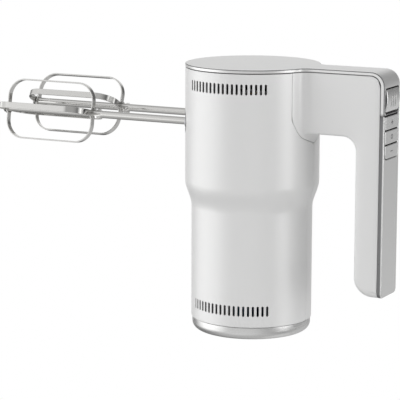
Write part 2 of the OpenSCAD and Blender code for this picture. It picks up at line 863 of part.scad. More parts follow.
module eject_spring() {
    coil_r = 3.6;
    wire_r = 0.45;
    x0 = 62.5 + wire_r + 0.05;
    x1 = 82 - wire_r - 0.05;
    turns = 7;
    per_turn = 14;
    n = turns * per_turn;
    sides = 6;
    points = [for (i = [0:n]) let (a = 360 * i / per_turn, x = x0 + (x1 - x0) * i / n)
        for (k = [0:sides - 1]) let (b = 360 * k / sides, r = coil_r + wire_r * cos(b))
        [x + wire_r * sin(b), r * cos(a), rod_z + r * sin(a)]];
    color(steel) tube_skin(points, n + 1, sides);
}

// Closed skin over rings of points
module tube_skin(points, rings, sides) {
    walls = [for (i = [0:rings - 2], k = [0:sides - 1]) let (j = (k + 1) % sides, b = i * sides)
        each [[b + k, b + j, b + sides + j], [b + k, b + sides + j, b + sides + k]]];
    polyhedron(points, concat(walls, [[for (k = [sides - 1:-1:0]) k]],
        [[for (k = [0:sides - 1]) (rings - 1) * sides + k]]));
}

// ---------- keys and boards ----------

module key(i, low_round) {
    h = key_pitch - key_gap;
    z = key_mid(i);
    w = key_w / 2;
    color(silver) union() {
        along_x(94.6, grip_outer_x + 0.3 - 94.6) translate([0, z]) polygon(rounded([
            [-w, -h / 2, low_round], [w, -h / 2, low_round], [w, h / 2, 0.6], [-w, h / 2, 0.6]
        ]));
        bar_x(1.9, 92.6, 94.6 + eps, 0, z);
    }
}

module key_plus() {
    key(0, 0.6);
}

module key_power() {
    key(1, 0.6);
}

module key_minus() {
    key(2, 3);
}

module control_board() {
    color(board_green) difference() {
        translate([board_x, -9, 121]) cube([1.6, 18, 34]);
        for (z = board_screw_z) bar_x(0.9, board_x - 1, board_x + 3, 0, z);
        for (i = [0:2]) translate([board_x - 1, 6, key_mid(i) - 1]) cube([4, 1, 2]);
    }
}

module key_switches() {
    color(dark) for (i = [0:2]) difference() {
        translate([board_x + 1.6, -4, key_mid(i) - 2.1]) cube([switch_x - board_x - 1.6, 8, 4.2]);
        bar_x(2, 91, switch_x + 1, 0, key_mid(i));
    }
}

// ---------- battery ----------

module battery_cell(angle) {
    color([0.25, 0.45, 0.62]) rotate([0, 0, angle]) translate([cell_ring, 0, cell_z]) union() {
        cylinder(r = cell_r, h = cell_len - 1);
        cylinder(r = 3, h = cell_len);
    }
}

module battery_cell_1() {
    battery_cell(cell_angles[0]);
}

module battery_cell_2() {
    battery_cell(cell_angles[1]);
}

module battery_cell_3() {
    battery_cell(cell_angles[2]);
}

module cell_pockets(z0, h) {
    for (a = cell_angles) rotate([0, 0, a]) translate([cell_ring, 0, z0])
        cylinder(r = cell_r + 0.1, h = h);
}

module cell_holder_lower() {
    color(dark) difference() {
        translate([0, 0, 3.4]) cylinder(r = 22.5, h = 6);
        cell_pockets(cell_z, 10);
    }
}

module cell_holder_upper() {
    floor_z = 64;
    color(dark) difference() {
        translate([0, 0, floor_z]) cylinder(r = lower_r - wall - 0.5, h = 8);
        cell_pockets(floor_z - 1, cell_z + cell_len - floor_z + 1);
        for (a = [0:60:359]) rotate([0, 0, a]) translate([29.5, 0, floor_z - 1])
            cylinder(r = 6, h = 12);
        translate([0, 0, floor_z - 1]) cylinder(r = 1.5, h = 12);
        for (y = [-17, 17]) translate([0, y, floor_z + 3]) cylinder(r = 0.9, h = 8);
    }
}

module battery_board() {
    color(board_green) difference() {
        translate([0, 0, 72]) cylinder(r = 21, h = 1.6);
        for (y = [-17, 17]) translate([0, y, 71]) cylinder(r = 0.9, h = 4);
    }
}

// ---------- wires ----------

// Smooth curve through the points p, k steps between neighbours
function spline(p, k) = let (n = len(p)) [
    for (i = [0:n - 2], s = [0:k - 1])
        let (t = s / k, a = p[max(i - 1, 0)], b = p[i], c = p[i + 1], d = p[min(i + 2, n - 1)])
        0.5 * (2 * b + (c - a) * t + (2 * a - 5 * b + 4 * c - d) * t * t
               + (3 * b - a - 3 * c + d) * t * t * t),
    p[n - 1]
];

// Round cable swept along a route that never runs along Y
module cable(route, r, k = 4) {
    path = spline(route, k);
    n = len(path);
    sides = 8;
    points = [for (i = [0:n - 1])
        let (t = unit(path[min(i + 1, n - 1)] - path[max(i - 1, 0)]),
             u = unit(cross(t, [0, 1, 0])), v = cross(t, u))
        for (j = [0:sides - 1]) let (b = -360 * j / sides) path[i] + r * (cos(b) * u + sin(b) * v)];
    tube_skin(points, n, sides);
}

motor_route = [[-21.3, 4, 73.4], [-27, 4, 74.4], [-32, 4, 79], [-31, 4, 86], [-25, 4, 87], [-20.6, 4, 86]];
charge_route = [[-31.5, 0, 34.4], [-29.5, 0, 38], [-29.5, 0, 52], [-29.5, 0, 64], [-28.8, 0, 70],
                [-26, 0, 73.3], [-21.3, 0, 73.5]];
switch_route = [[21.3, -3, 73.4], [28, -3, 75], [33, -3, 82], [33, -3, 100], [33, -3, 118],
                [34, -3, 126], [38, -5, 133], [39.5, -8, 139], [43, -8.4, 143], [49, -8.4, 143.4],
                [61, -8.4, 143.4], [73, -8.4, 143], [82, -8.2, 140.5], [85, -7.5, 134],
                [85, -6, 128], [86.2, -6, 123.6]];

module wire_loom() {
    color("firebrick") {
        cable(motor_route, 1.1);
        cable(charge_route, 1.1);
        cable(switch_route, 1.1);
    }
}

// ---------- screws ----------

module base_screws() {
    color(steel) for (a = screw_angles) rotate([0, 0, a]) translate([screw_ring, 0, 2.4])
        screw(2.8, 1, 1.25, 18);
}

module frame_screws() {
    color(steel) {
        for (p = plate_screws()) translate([p[0], p[1], deck_z]) screw(2.2, 1.5, 1.1, 9);
        for (p = bridge_screws()) translate([p[0], p[1], bridge_z + bridge_t]) mirror([0, 0, 1])
            screw(2.2, 1.5, 1.1, 9);
        for (p = motor_screws()) translate([p[0], p[1], deck_z + deck_t]) mirror([0, 0, 1])
            screw(2.2, 1.5, 1.1, 5);
    }
}

module handle_screws() {
    color(steel) for (s = [-1, 1]) translate([49, s * 7.6, handle_screw_z]) rotate([0, -90, 0])
        screw(2.5, 1.8, 1.25, 16);
}

module board_screws() {
    color(steel) {
        for (z = board_screw_z) translate([board_x + 1.6, 0, z]) rotate([0, -90, 0])
            screw(1.8, 1, 0.9, 5);
        for (y = [-17, 17]) translate([0, y, 73.6]) mirror([0, 0, 1]) screw(1.8, 1, 0.9, 5);
    }
}

body_left();
body_right();
handle_shell();
top_cover();
back_strip();
base_cap();
base_pad();
socket_plate();
charge_socket();
motor_plate();
gearbox_front_plate();
gearbox_rear_plate();
top_bridge();
spindle_bushes();
shaft_bushes();
motor_can();
motor_end_cap();
motor_magnets();
motor_brushes();
motor_shaft();
rotor_core();
rotor_windings();
commutator();
cooling_fan();
worm();
worm_wheel_left();
worm_wheel_right();
spindle_hub_left();
spindle_hub_right();
detent_clip_left();
detent_clip_right();
push_pin_left();
push_pin_right();
beater_stem_left();
beater_stem_right();
beater_loop_left_outer();
beater_loop_left_inner();
beater_loop_right_outer();
beater_loop_right_inner();
eject_button();
eject_rod();
eject_slide();
eject_spring();
key_plus();
key_power();
key_minus();
control_board();
key_switches();
battery_cell_1();
battery_cell_2();
battery_cell_3();
cell_holder_lower();
cell_holder_upper();
battery_board();
wire_loom();
base_screws();
frame_screws();
handle_screws();
board_screws();
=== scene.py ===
"""Looks of the cordless hand mixer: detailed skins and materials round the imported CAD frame.

Lengths are in millimetres until a mesh is made. Left is -Y, the beaters point along -X.
"""
import json
import math

import bpy
from mathutils import Matrix, Vector
from mathutils.geometry import delaunay_2d_cdt


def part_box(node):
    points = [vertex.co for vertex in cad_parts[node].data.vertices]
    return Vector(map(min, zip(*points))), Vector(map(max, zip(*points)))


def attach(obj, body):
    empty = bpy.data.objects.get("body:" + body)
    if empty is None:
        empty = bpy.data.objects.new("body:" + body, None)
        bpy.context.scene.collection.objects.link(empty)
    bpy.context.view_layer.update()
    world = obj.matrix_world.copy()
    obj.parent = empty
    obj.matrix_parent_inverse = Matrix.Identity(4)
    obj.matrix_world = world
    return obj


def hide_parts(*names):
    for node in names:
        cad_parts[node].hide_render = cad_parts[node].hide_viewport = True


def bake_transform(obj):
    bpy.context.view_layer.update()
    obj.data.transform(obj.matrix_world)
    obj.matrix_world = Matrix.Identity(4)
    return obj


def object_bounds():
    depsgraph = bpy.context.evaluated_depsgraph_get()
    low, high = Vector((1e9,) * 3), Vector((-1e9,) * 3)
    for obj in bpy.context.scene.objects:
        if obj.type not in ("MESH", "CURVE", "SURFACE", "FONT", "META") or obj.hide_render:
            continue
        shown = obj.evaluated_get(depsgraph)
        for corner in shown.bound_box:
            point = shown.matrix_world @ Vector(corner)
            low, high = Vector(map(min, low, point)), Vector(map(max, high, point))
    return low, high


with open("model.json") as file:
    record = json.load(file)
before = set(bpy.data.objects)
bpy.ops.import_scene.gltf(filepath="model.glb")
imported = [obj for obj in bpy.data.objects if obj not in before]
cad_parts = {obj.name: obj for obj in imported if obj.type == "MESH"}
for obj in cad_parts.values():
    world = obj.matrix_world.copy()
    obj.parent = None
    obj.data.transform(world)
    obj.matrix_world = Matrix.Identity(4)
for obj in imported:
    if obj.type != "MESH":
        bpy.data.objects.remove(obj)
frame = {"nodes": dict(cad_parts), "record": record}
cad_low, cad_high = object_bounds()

MM = 0.001


def box_mm(node):
    """Lowest and highest corner of a CAD node in millimetres."""
    low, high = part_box(node)
    return low / MM, high / MM


# ---------- sizes, from the frame where it has them ----------

cover_low, cover_high = box_mm("top_cover")
strip_low, strip_high = box_mm("back_strip")
half_low, half_high = box_mm("body_left")
stem_low, stem_high = box_mm("beater_stem_left")
pin_low, pin_high = box_mm("push_pin_left")
cap_high = box_mm("base_cap")[1]
loop_high = box_mm("beater_loop_left_outer")[1]
button_high = box_mm("eject_button")[1]

# Gap between neighbouring mouldings, and half the gap between the two body halves
SEAM = 0.2
HALF_GAP = 0.15

# Body: two cylinders with a soft step between them
UPPER_R = -cover_low.x
LOWER_R = 41.0
STEP_LOW, STEP_HIGH = 85.5, 103.3
WALL = 2.5
BODY_H = cover_high.z
SHELL_TOP = half_high.z
CAP_R = cap_high.x
CAP_TOP = half_low.z - SEAM
CAP_ROUND = 5.3

# Vents: a row near the top and one near the heel, as (height, degrees between slots, body radius)
VENT_ROWS = ((169.35, 4.05, UPPER_R), (20.35, 4.54, LOWER_R))
VENT_EACH_SIDE = 9
VENT_W, VENT_H = 1.5, 6.9

# Openings in the front seam: the spindle plate's and the charging socket's
MOUTH_W, MOUTH_H = 54.0, 17.0
PORT_W, PORT_H, PORT_Z = 9.8, 4.4, 34.0

# Handle, its arm and the saddle where the arm meets the body
GRIP_HALF = strip_high.y
GRIP_OUTER = strip_high.x
GRIP_BACK = box_mm("handle_shell")[1].x
GRIP_END = strip_low.z
GRIP_INNER = 80.6
ARM_Z = 138.8
ARM_ROOT_X = 50.0
GRIP_CORNER = 9.5
GRIP_END_ROUND = 12.0
GRIP_EDGE = 1.4
SHELL_BEND = 6.7
SHELL_WALL = 2.2
END_CORNER = 3.5
CROWN = 0.35
ROOT_FILLET = 8.0
SADDLE_HALF = 22.4
SADDLE_SIDE_Z = 148.0
SADDLE_KNEE_Y, SADDLE_KNEE_Z = 16.0, 136.5
SADDLE_FOOT_Z = 131.0

# Silver cover and strip
COVER_END = cover_low.z
COVER_T = BODY_H - SHELL_TOP - SEAM
COVER_BEND = 9.5
STRIP_T = GRIP_OUTER - GRIP_BACK - SEAM

# Keys and eject button
KEY_W = 21.8
KEY_TOP = COVER_END - 0.4
KEY_PITCH = 9.5
KEY_GAP = 0.8
KEY_ROUND = 0.7
KEY_PROUD = 0.3
LAST_KEY_ROUND = 3.0
MARK_PROUD = 0.06
WINDOW_HALF = 11.2
WINDOW_SILL = 1.1
WINDOW_ROUND = 1.6
NOTCH_ROUND = 3.2
BUTTON_LOW, BUTTON_HIGH = 156.0, 171.0
BUTTON_HALF = 10.7
BUTTON_GAP = 0.5
BUTTON_CROWN_R, BUTTON_CROWN_Z = 24.0, 164.1
RIB_Z, RIB_H, RIB_W, RIB_PITCH = 162.85, 7.7, 0.9, 3.5
RIB_PROUD = 0.33

# Heel cap and its rubber pad
HEEL_INNER_R = 36.0
HEEL_FLOOR = 3.4
HEEL_LIP = 4.0
PAD_R, PAD_T = 31.0, 1.4
PAD_RECESS_R = 31.2
CAP_CLEAR = 0.4

# Beaters
STEM_Y = abs(pin_low.y + pin_high.y) / 2
STEM_Z = (pin_low.z + pin_high.z) / 2
STEM_R = 2.55
HEAD_T = 0.8
TIP_X = stem_low.x + HEAD_T
NECK_X = loop_high.x
STEM_END_X = stem_high.x
GROOVE_X, GROOVE_R = -28.0, 2.1
LUG_LOW, LUG_HIGH, LUG_HALF = -38.6, -34.0, 4.0
LUG_T = 1.2
EAR_PROUD = 1.5
EAR_TURN = 1.15
EAR_START, EAR_RISE, EAR_END, EAR_FALL = 0.4, 1.6, 6.0, 2.6
WING_R = 20.9
WING_W = 4.2
WING_T = 1.0
WING_CORNER = 13.0
WING_EDGE = 0.32
EYE_R = 4.0
# Turn of each beater's upright and level loop and of its lugs, in degrees about +X
TURNS = {"left": (9.5, 14.0, 12.0), "right": (19.0, 28.0, 24.0)}

# Return spring round the eject rod
SPRING_TURNS = 7
SPRING_WIRE = 0.45


# ---------- outlines ----------

SAME_POINT = 0.01


def running_length(path):
    """Length of an open path up to each of its points."""
    lengths = [0.0]
    for a, b in zip(path, path[1:]):
        lengths.append(lengths[-1] + (b - a).length)
    return lengths


def rounded(points, steps=6):
    """Closed outline through (x, y, corner radius) points, with its corners as arcs."""
    out = []
    count = len(points)
    for i, (x, y, radius) in enumerate(points):
        p = Vector((x, y))
        if radius == 0:
            out.append(p)
            continue
        a = (Vector(points[i - 1][:2]) - p).normalized()
        b = (Vector(points[(i + 1) % count][:2]) - p).normalized()
        half = a.angle(b) / 2
        centre = p + (a + b).normalized() * (radius / math.sin(half))
        start = p + a * (radius / math.tan(half)) - centre
        turn = math.copysign(math.pi - 2 * half, a.y * b.x - a.x * b.y)
        for k in range(steps + 1):
            out.append(centre + Matrix.Rotation(turn * k / steps, 2) @ start)
    return out


def rectangle(x0, y0, x1, y1, corner, steps=6):
    """Rounded rectangle between two opposite corners."""
    return rounded([(x0, y0, corner), (x1, y0, corner), (x1, y1, corner), (x0, y1, corner)], steps)


def clean(loop):
    """Loop without points that all but repeat their neighbour."""
    return [p for i, p in enumerate(loop) if (p - loop[i - 1]).length > SAME_POINT]


def dense(path, longest, closed=False):
    """Path with its long straight stretches cut into steps."""
    out = []
    ends = path[1:] + ([path[0]] if closed else [])
    for a, b in zip(path, ends):
        steps = max(1, math.ceil((b - a).length / longest))
        out += [a.lerp(b, k / steps) for k in range(steps)]
    return out if closed else out + [path[-1]]


def moved_left(path, distance, closed=False):
    """Path moved to its left by a distance, or by a list of them, with mitred corners."""
    count = len(path)
    out = []
    for i, p in enumerate(path):
        before = p - path[i - 1] if closed or i else path[1] - p
        after = path[(i + 1) % count] - p if closed or i < count - 1 else before
        n1 = Vector((-before.y, before.x)).normalized()
        n2 = Vector((-after.y, after.x)).normalized()
        d = distance[i] if isinstance(distance, list) else distance
        out.append(p + (n1 + n2) * (d / max(0.5, 1 + n1.dot(n2))))
    return out


def along(path, shares):
    """Points at those shares of an open path's length."""
    lengths = running_length(path)
    out = []
    for share in shares:
        target = share * lengths[-1]
        i = next((k for k in range(1, len(path)) if lengths[k] >= target - 1e-9), len(path) - 1)
        span = lengths[i] - lengths[i - 1]
        out.append(path[i - 1].lerp(path[i], (target - lengths[i - 1]) / span if span else 0.0))
    return out


def inside(p, loop):
    """True if point p lies in a closed loop."""
    found = False
    for a, b in zip(loop, loop[1:] + loop[:1]):
        if (a.y > p.y) != (b.y > p.y) and p.x < (b.x - a.x) * (p.y - a.y) / (b.y - a.y) + a.x:
            found = not found
    return found


def area(loop):
    """Signed area of a closed loop, positive when it runs anticlockwise."""
    return sum(a.x * b.y - b.x * a.y for a, b in zip(loop, loop[1:] + loop[:1])) / 2


def smooth_step(t):
    """Soft ramp from 0 at t = 0 to 1 at t = 1."""
    t = max(0.0, min(1.0, t))
    return t * t * (3 - 2 * t)


# ---------- meshes ----------

# Least distance of a panel's inner points from its rims, as a share of their spacing
RIM_CLEARANCE = 0.55
# Step over which a surface's normal is worked out
NORMAL_STEP = 0.01


class Part:
    """Vertices in millimetres, faces, a normal for each vertex, and each named zone's faces."""

    def __init__(self):
        self.points = []
        self.faces = []
        self.normals = []
        self.zones = {}

    def add(self, other):
        base = len(self.points)
        for zone, faces in other.zones.items():
            self.zones.setdefault(zone, []).extend(len(self.faces) + i for i in faces)
        self.points += other.points
        self.normals += other.normals
        self.faces += [[base + i for i in f] for f in other.faces]
        return self

    def turned(self, matrix):
        turn = matrix.to_3x3()
        self.points = [matrix @ p for p in self.points]
        self.normals = [turn @ n for n in self.normals]
        return self


def make(name, part, body, material, replaces=(), sharp=None, second=None,
         zones=("wall", "back")):
    """Object from a part, standing for CAD nodes, with a second material on the named zones.

    It rides on a body; given a tuple of two bodies with the start and end of a stretch, its
    transform is baked in and it rides on neither.
    sharp is the angle in degrees from which an edge is hard, where the part has no normals.
    """
    mesh = bpy.data.meshes.new(name)
    mesh.from_pydata([p * MM for p in part.points], [], part.faces)
    mesh.polygons.foreach_set("use_smooth", [True] * len(mesh.polygons))
    if part.normals:
        mesh.normals_split_custom_set_from_vertices([n.normalized() for n in part.normals])
    elif sharp is not None:
        mesh.set_sharp_from_angle(angle=math.radians(sharp))
    mesh.materials.append(material)
    if second:
        mesh.materials.append(second)
        for zone in zones:
            for i in part.zones[zone]:
                mesh.polygons[i].material_index = 1
    obj = bpy.data.objects.new(name, mesh)
    bpy.context.scene.collection.objects.link(obj)
    if isinstance(body, tuple):
        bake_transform(obj)
    else:
        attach(obj, body)
    if replaces:
        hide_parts(*replaces)
    return obj


def hole_test(rims):
    """Test of whether a point lies in one of the rims after the first."""
    boxes = [(min(p.x for p in rim), max(p.x for p in rim),
              min(p.y for p in rim), max(p.y for p in rim), rim) for rim in rims[1:]]

    def in_hole(p):
        return any(x0 < p.x < x1 and y0 < p.y < y1 and inside(p, rim)
                   for x0, x1, y0, y1, rim in boxes)

    return in_hole


def grid_between(rims, loop, step, in_hole):
    """Points of an even grid over a loop, where they lie between the rims and clear of them."""
    low = Vector((min(p.x for p in loop), min(p.y for p in loop)))
    high = Vector((max(p.x for p in loop), max(p.y for p in loop)))
    near = {}
    cell = min(step) * RIM_CLEARANCE
    for rim in rims:
        for p in rim:
            near.setdefault((int(p.x // cell), int(p.y // cell)), []).append(p)

    def crowded(p):
        kx, ky = int(p.x // cell), int(p.y // cell)
        return any((p - q).length < cell for dx in (-1, 0, 1) for dy in (-1, 0, 1)
                   for q in near.get((kx + dx, ky + dy), ()))

    grid = []
    columns = max(1, round((high.x - low.x) / step[0]))
    lines = max(1, round((high.y - low.y) / step[1]))
    for i in range(1, columns):
        for j in range(1, lines):
            p = Vector((low.x + (high.x - low.x) * i / columns,
                        low.y + (high.y - low.y) * j / lines))
            if not crowded(p) and inside(p, rims[0]) and not in_hole(p):
                grid.append(p)
    return grid


def triangles_between(rims, grid, in_hole):
    """Triangles between the rims, as indices into the rims' points followed by the grid's."""
    edges = []
    base = 0
    for rim in rims:
        edges += [(base + i, base + (i + 1) % len(rim)) for i in range(len(rim))]
        base += len(rim)
    flat = [p for rim in rims for p in rim] + grid
    _, _, triangles, source, _, _ = delaunay_2d_cdt(flat, edges, [], 1, 1e-6)
    kept = []
    for triangle in triangles:
        ids = [source[i][0] for i in triangle]
        middle = sum((flat[i] for i in ids), Vector((0, 0))) / 3
        if not in_hole(middle):
            kept.append(ids)
    return kept


def axes_normal(place, u, v):
    """Normal that place's own axes make on its outer face, and whether it points into the shell."""
    h = NORMAL_STEP
    across = place(u + h, v, 0) - place(u - h, v, 0)
    up = place(u, v + h, 0) - place(u, v - h, 0)
    n = across.cross(up).normalized()
    return n, n.dot(place(u, v, 0) - place(u, v, 1)) < 0


def panel(outline, holes, place, depth, edge, step, under=0.1, rim_steps=4):
    """Closed shell over a flat outline, with rounded rims round it and its holes.

    place(u, v, n) is the point n below the outer face. depth is the shell's thickness, edge the
    radius of its rims, step the spacing of its points, and under the height of the chamfer below.
    """
    loops = []
    for k, loop in enumerate([outline, *holes]):
        loop = dense(clean(loop), max(step), closed=True)
        if (area(loop) > 0) != (k == 0):
            loop.reverse()
        loops.append(loop)
    rims = [moved_left(loop, edge, closed=True) for loop in loops]
    in_hole = hole_test(rims)
    grid = grid_between(rims, loops[0], step, in_hole)
    triangles = triangles_between(rims, grid, in_hole)
    inner_rim = [p for rim in rims for p in rim]
    outer_rim = [p for loop in loops for p in loop]
    outwards = [(a - b).normalized() for a, b in zip(outer_rim, inner_rim)]
    part = Part()

    def normal(p):
        n, inwards = axes_normal(place, p.x, p.y)
        return -n if inwards else n

    def ring(share, n, tilt):
        """One ring of rim points, n below the face, its normals turned outwards by tilt."""
        for p, q, out in zip(inner_rim, outer_rim, outwards):
            at = p.lerp(q, share)
            here = place(at.x, at.y, 0)
            beside = place(at.x + out.x * NORMAL_STEP, at.y + out.y * NORMAL_STEP, 0)
            side = (beside - here).normalized()
            part.points.append(place(at.x, at.y, n))
            part.normals.append(normal(at) * math.cos(tilt) + side * math.sin(tilt))

    ring(0, 0, 0)
    for p in grid:
        part.points.append(place(p.x, p.y, 0))
        part.normals.append(normal(p))
    starts = [0]
    for k in range(1, rim_steps + 1):
        tilt = math.pi / 2 * k / rim_steps
        starts.append(len(part.points))
        ring(math.sin(tilt), edge * (1 - math.cos(tilt)), tilt)
    starts.append(len(part.points))
    ring(1, depth - under, math.pi / 2)
    back = len(part.points)
    starts.append(back)
    ring(0.5, depth, math.pi)
    for p in grid:
        part.points.append(place(p.x, p.y, depth))
        part.normals.append(-normal(p))

    first_point = (inner_rim + grid)[triangles[0][0]]
    flip = axes_normal(place, first_point.x, first_point.y)[1]

    def face(ids):
        part.faces.append(list(reversed(ids)) if flip else list(ids))

    part.zones = {"bevel": [], "wall": [], "back": []}
    for ids in triangles:
        face(ids)
        part.zones["back"].append(len(part.faces))
        face([back + i for i in reversed(ids)])
    for k, (upper, lower) in enumerate(zip(starts, starts[1:])):
        zone = "bevel" if k < rim_steps else "wall" if k == rim_steps else "back"
        base = 0
        for loop in loops:
            m = len(loop)
            for i in range(m):
                j = (i + 1) % m
                part.zones[zone].append(len(part.faces))
                face([upper + base + j, upper + base + i, lower + base + i, lower + base + j])
            base += m
    return part


def shell(outer, inner):
    """Closed shell between two grids of points of the same size, joined along their edges."""
    part = Part()
    rows, columns = len(outer), len(outer[0])
    for grid in (outer, inner):
        for row in grid:
            part.points += row
    half = rows * columns

    def at(i, j, side):
        return side * half + i * columns + j

    for i in range(rows - 1):
        for j in range(columns - 1):
            quad = [at(i, j, 0), at(i, j + 1, 0), at(i + 1, j + 1, 0), at(i + 1, j, 0)]
            part.faces.append(quad)
            part.faces.append([half + k for k in reversed(quad)])
    for j in range(columns - 1):
        part.faces.append([at(0, j + 1, 0), at(0, j, 0), at(0, j, 1), at(0, j + 1, 1)])
        last = rows - 1
        part.faces.append([at(last, j, 0), at(last, j + 1, 0), at(last, j + 1, 1), at(last, j, 1)])
    for i in range(rows - 1):
        part.faces.append([at(i, 0, 0), at(i + 1, 0, 0), at(i + 1, 0, 1), at(i, 0, 1)])
        last = columns - 1
        part.faces.append([at(i + 1, last, 0), at(i, last, 0), at(i, last, 1), at(i + 1, last, 1)])
    return part


def lathe(profile, segments=144):
    """Solid of revolution about Z from a closed (radius, z) outline."""
    part = Part()
    on_axis = [r < 1e-6 for r, _ in profile]
    starts = []
    for (r, z), axis in zip(profile, on_axis):
        starts.append(len(part.points))
        for k in range(1 if axis else segments):
            a = 2 * math.pi * k / segments
            part.points.append(Vector((r * math.cos(a), r * math.sin(a), z)))
    count = len(profile)
    for i in range(count):
        j = (i + 1) % count
        if on_axis[i] and on_axis[j]:
            continue
        for k in range(segments):
            m = (k + 1) % segments
            a = [starts[i]] if on_axis[i] else [starts[i] + k, starts[i] + m]
            b = [starts[j]] if on_axis[j] else [starts[j] + m, starts[j] + k]
            part.faces.append(a + b)
    return part


def facing_back(x0, z0=0.0, crown=None):
    """Flat face that looks along +X, with an optional crown over its height."""
    def place(u, v, n):
        return Vector((x0 - n - (crown(v) if crown else 0.0), u, v + z0))
    return place


# ---------- body ----------

def body_radius(z):
    """Outer radius of the body at a height."""
    return LOWER_R + (UPPER_R - LOWER_R) * smooth_step((z - STEP_LOW) / (STEP_HIGH - STEP_LOW))


def saddle_path(grow=0.0):
    """Saddle seam on the body's rear as (y, z), from its point on the rear seam up to the cover."""
    steps = 8
    foot_round, knee_round, side_round = 3, 12, 8
    side, side_z = SADDLE_HALF + grow, SADDLE_SIDE_Z - grow
    knee, knee_z = SADDLE_KNEE_Y + grow, SADDLE_KNEE_Z - grow
    over = BODY_H + 8  # well above the cover, so that the corners up there are cut off
    loop = rounded([
        (0, SADDLE_FOOT_Z - grow, foot_round), (knee, knee_z, knee_round),
        (side, side_z, side_round), (side, over, 0), (-side, over, 0),
        (-side, side_z, side_round), (-knee, knee_z, knee_round)], steps)
    half = loop[steps // 2:3 * (steps + 1)]
    return half + [Vector((side, SHELL_TOP))]


def slot_radius(w, h):
    """Radius of a slot's round ends, just short of a full half circle."""
    return min(w, h) / 2 - 0.002


def slot_outline(w, h, steps=6):
    """Slot with round ends about the origin."""
    return rectangle(-w / 2, -h / 2, w / 2, h / 2, slot_radius(w, h), steps)


def front_half(w, h, z):
    """Half of a slot-shaped opening in the front seam as (y, z), from its top to its bottom."""
    r = slot_radius(w, h)
    w, h = w / 2, h / 2
    corners = rounded([(0, h, 0), (w, h, r), (w, -h, r), (0, -h, 0)], 8)
    return [Vector((p.x, p.y + z)) for p in corners]


def body_half(side):
    """One half of the white body. side is -1 for the left.

    Its outline is drawn as (distance round the upper body, height), from the rear seam at 0 to the
    front seam.
    """
    def rear(y, z):
        round_to = UPPER_R * math.asin(min(1.0, y / UPPER_R))
        return Vector((-round_to - (HALF_GAP if y < 1e-6 else 0), z))

    def front(y, z, radius=UPPER_R):
        round_to = UPPER_R * (math.pi - math.asin(min(1.0, y / radius)))
        return Vector((-round_to + (HALF_GAP if y < 1e-6 else 0), z))

    low = CAP_TOP + SEAM
    mouth = front_half(MOUTH_W + 2 * SEAM, MOUTH_H + 2 * SEAM, STEM_Z)
    outline = [front(0, low), rear(0, low)]
    outline += [rear(p.x, p.y) for p in saddle_path(SEAM)]
    outline += [front(0, SHELL_TOP)]
    outline += [front(p.x, p.y) for p in mouth]
    outline += [front(p.x, p.y, LOWER_R) for p in front_half(PORT_W, PORT_H, PORT_Z)]
    holes = []
    for z, pitch, radius in VENT_ROWS:
        for k in range(-VENT_EACH_SIDE, VENT_EACH_SIDE + 1):
            middle = UPPER_R * math.radians(pitch * k - 90)
            scale = UPPER_R / radius
            holes.append([Vector((middle + p.x * scale, z + p.y))
                          for p in slot_outline(VENT_W, VENT_H)])

    def place(u, v, n):
        a = u / UPPER_R
        r = body_radius(v) - n
        return Vector((r * math.cos(a), -side * r * math.sin(a), v))

    return panel(outline, holes, place, depth=WALL, edge=0.4, step=(1.8, 1.8))


# ---------- handle ----------

# Where the points of a half row lie: on the side from the cover to the rounded edge, as shares of
# that way, and on the inner face from the edge to the middle, as shares of its half width
SIDE_SHARES = (0, 0.04, 0.12, 0.25, 0.38, 0.5, 0.62, 0.75, 0.88, 0.96)
FACE_SHARES = (0.96, 0.8, 0.5, 0.2)
EDGE_STEPS = 7
ROOT_STEPS = 12
SEAM_EDGE = 0.3


def grip_rows(d):
    """Rows of points over the handle moulding, d below its outer face.

    They run from the saddle seam over the arm's root, along the arm, down the grip and round its
    end.
    """
    half = GRIP_HALF - d
    corners = 14
    inner = rounded([(ARM_ROOT_X, ARM_Z, 0), (GRIP_INNER, ARM_Z, GRIP_CORNER),
                     (GRIP_INNER, GRIP_END, GRIP_END_ROUND), (GRIP_BACK, GRIP_END, 0)], corners)
    inner = dense(inner, 4)
    outer = rounded([(ARM_ROOT_X, SHELL_TOP, 0), (GRIP_BACK, SHELL_TOP, SHELL_BEND),
                     (GRIP_BACK, GRIP_END + END_CORNER + 0.6, 0)], corners)
    lengths = running_length(inner)
    outer = along(outer, [x / lengths[-1] for x in lengths])
    edges = []
    for p in inner:
        low = smooth_step((GRIP_END + GRIP_END_ROUND - p.y) / GRIP_END_ROUND)
        edges.append(max(0.4, GRIP_EDGE + (END_CORNER - GRIP_EDGE) * low - d * 0.6))
    skin = moved_left(inner, d)
    lifted = moved_left(inner, [d + e for e in edges])
    rows = []
    for p, q, o, e in zip(skin, lifted, outer, edges):
        quarter = [(o.lerp(q, f), half - CROWN * (1 - 4 * f * (1 - f)) ** 2) for f in SIDE_SHARES]
        for k in range(EDGE_STEPS + 1):
            a = math.pi / 2 * k / EDGE_STEPS
            quarter.append((q.lerp(p, math.sin(a)), half - CROWN - e + e * math.cos(a)))
        quarter += [(p, (half - CROWN - e) * f) for f in FACE_SHARES]
        row = [Vector((at.x, -y, at.y)) for at, y in quarter]
        row += [Vector((p.x, 0, p.y))] + [Vector((at.x, y, at.y)) for at, y in reversed(quarter)]
        rows.append(row)
    return root_rows(d, rows[0]) + rows


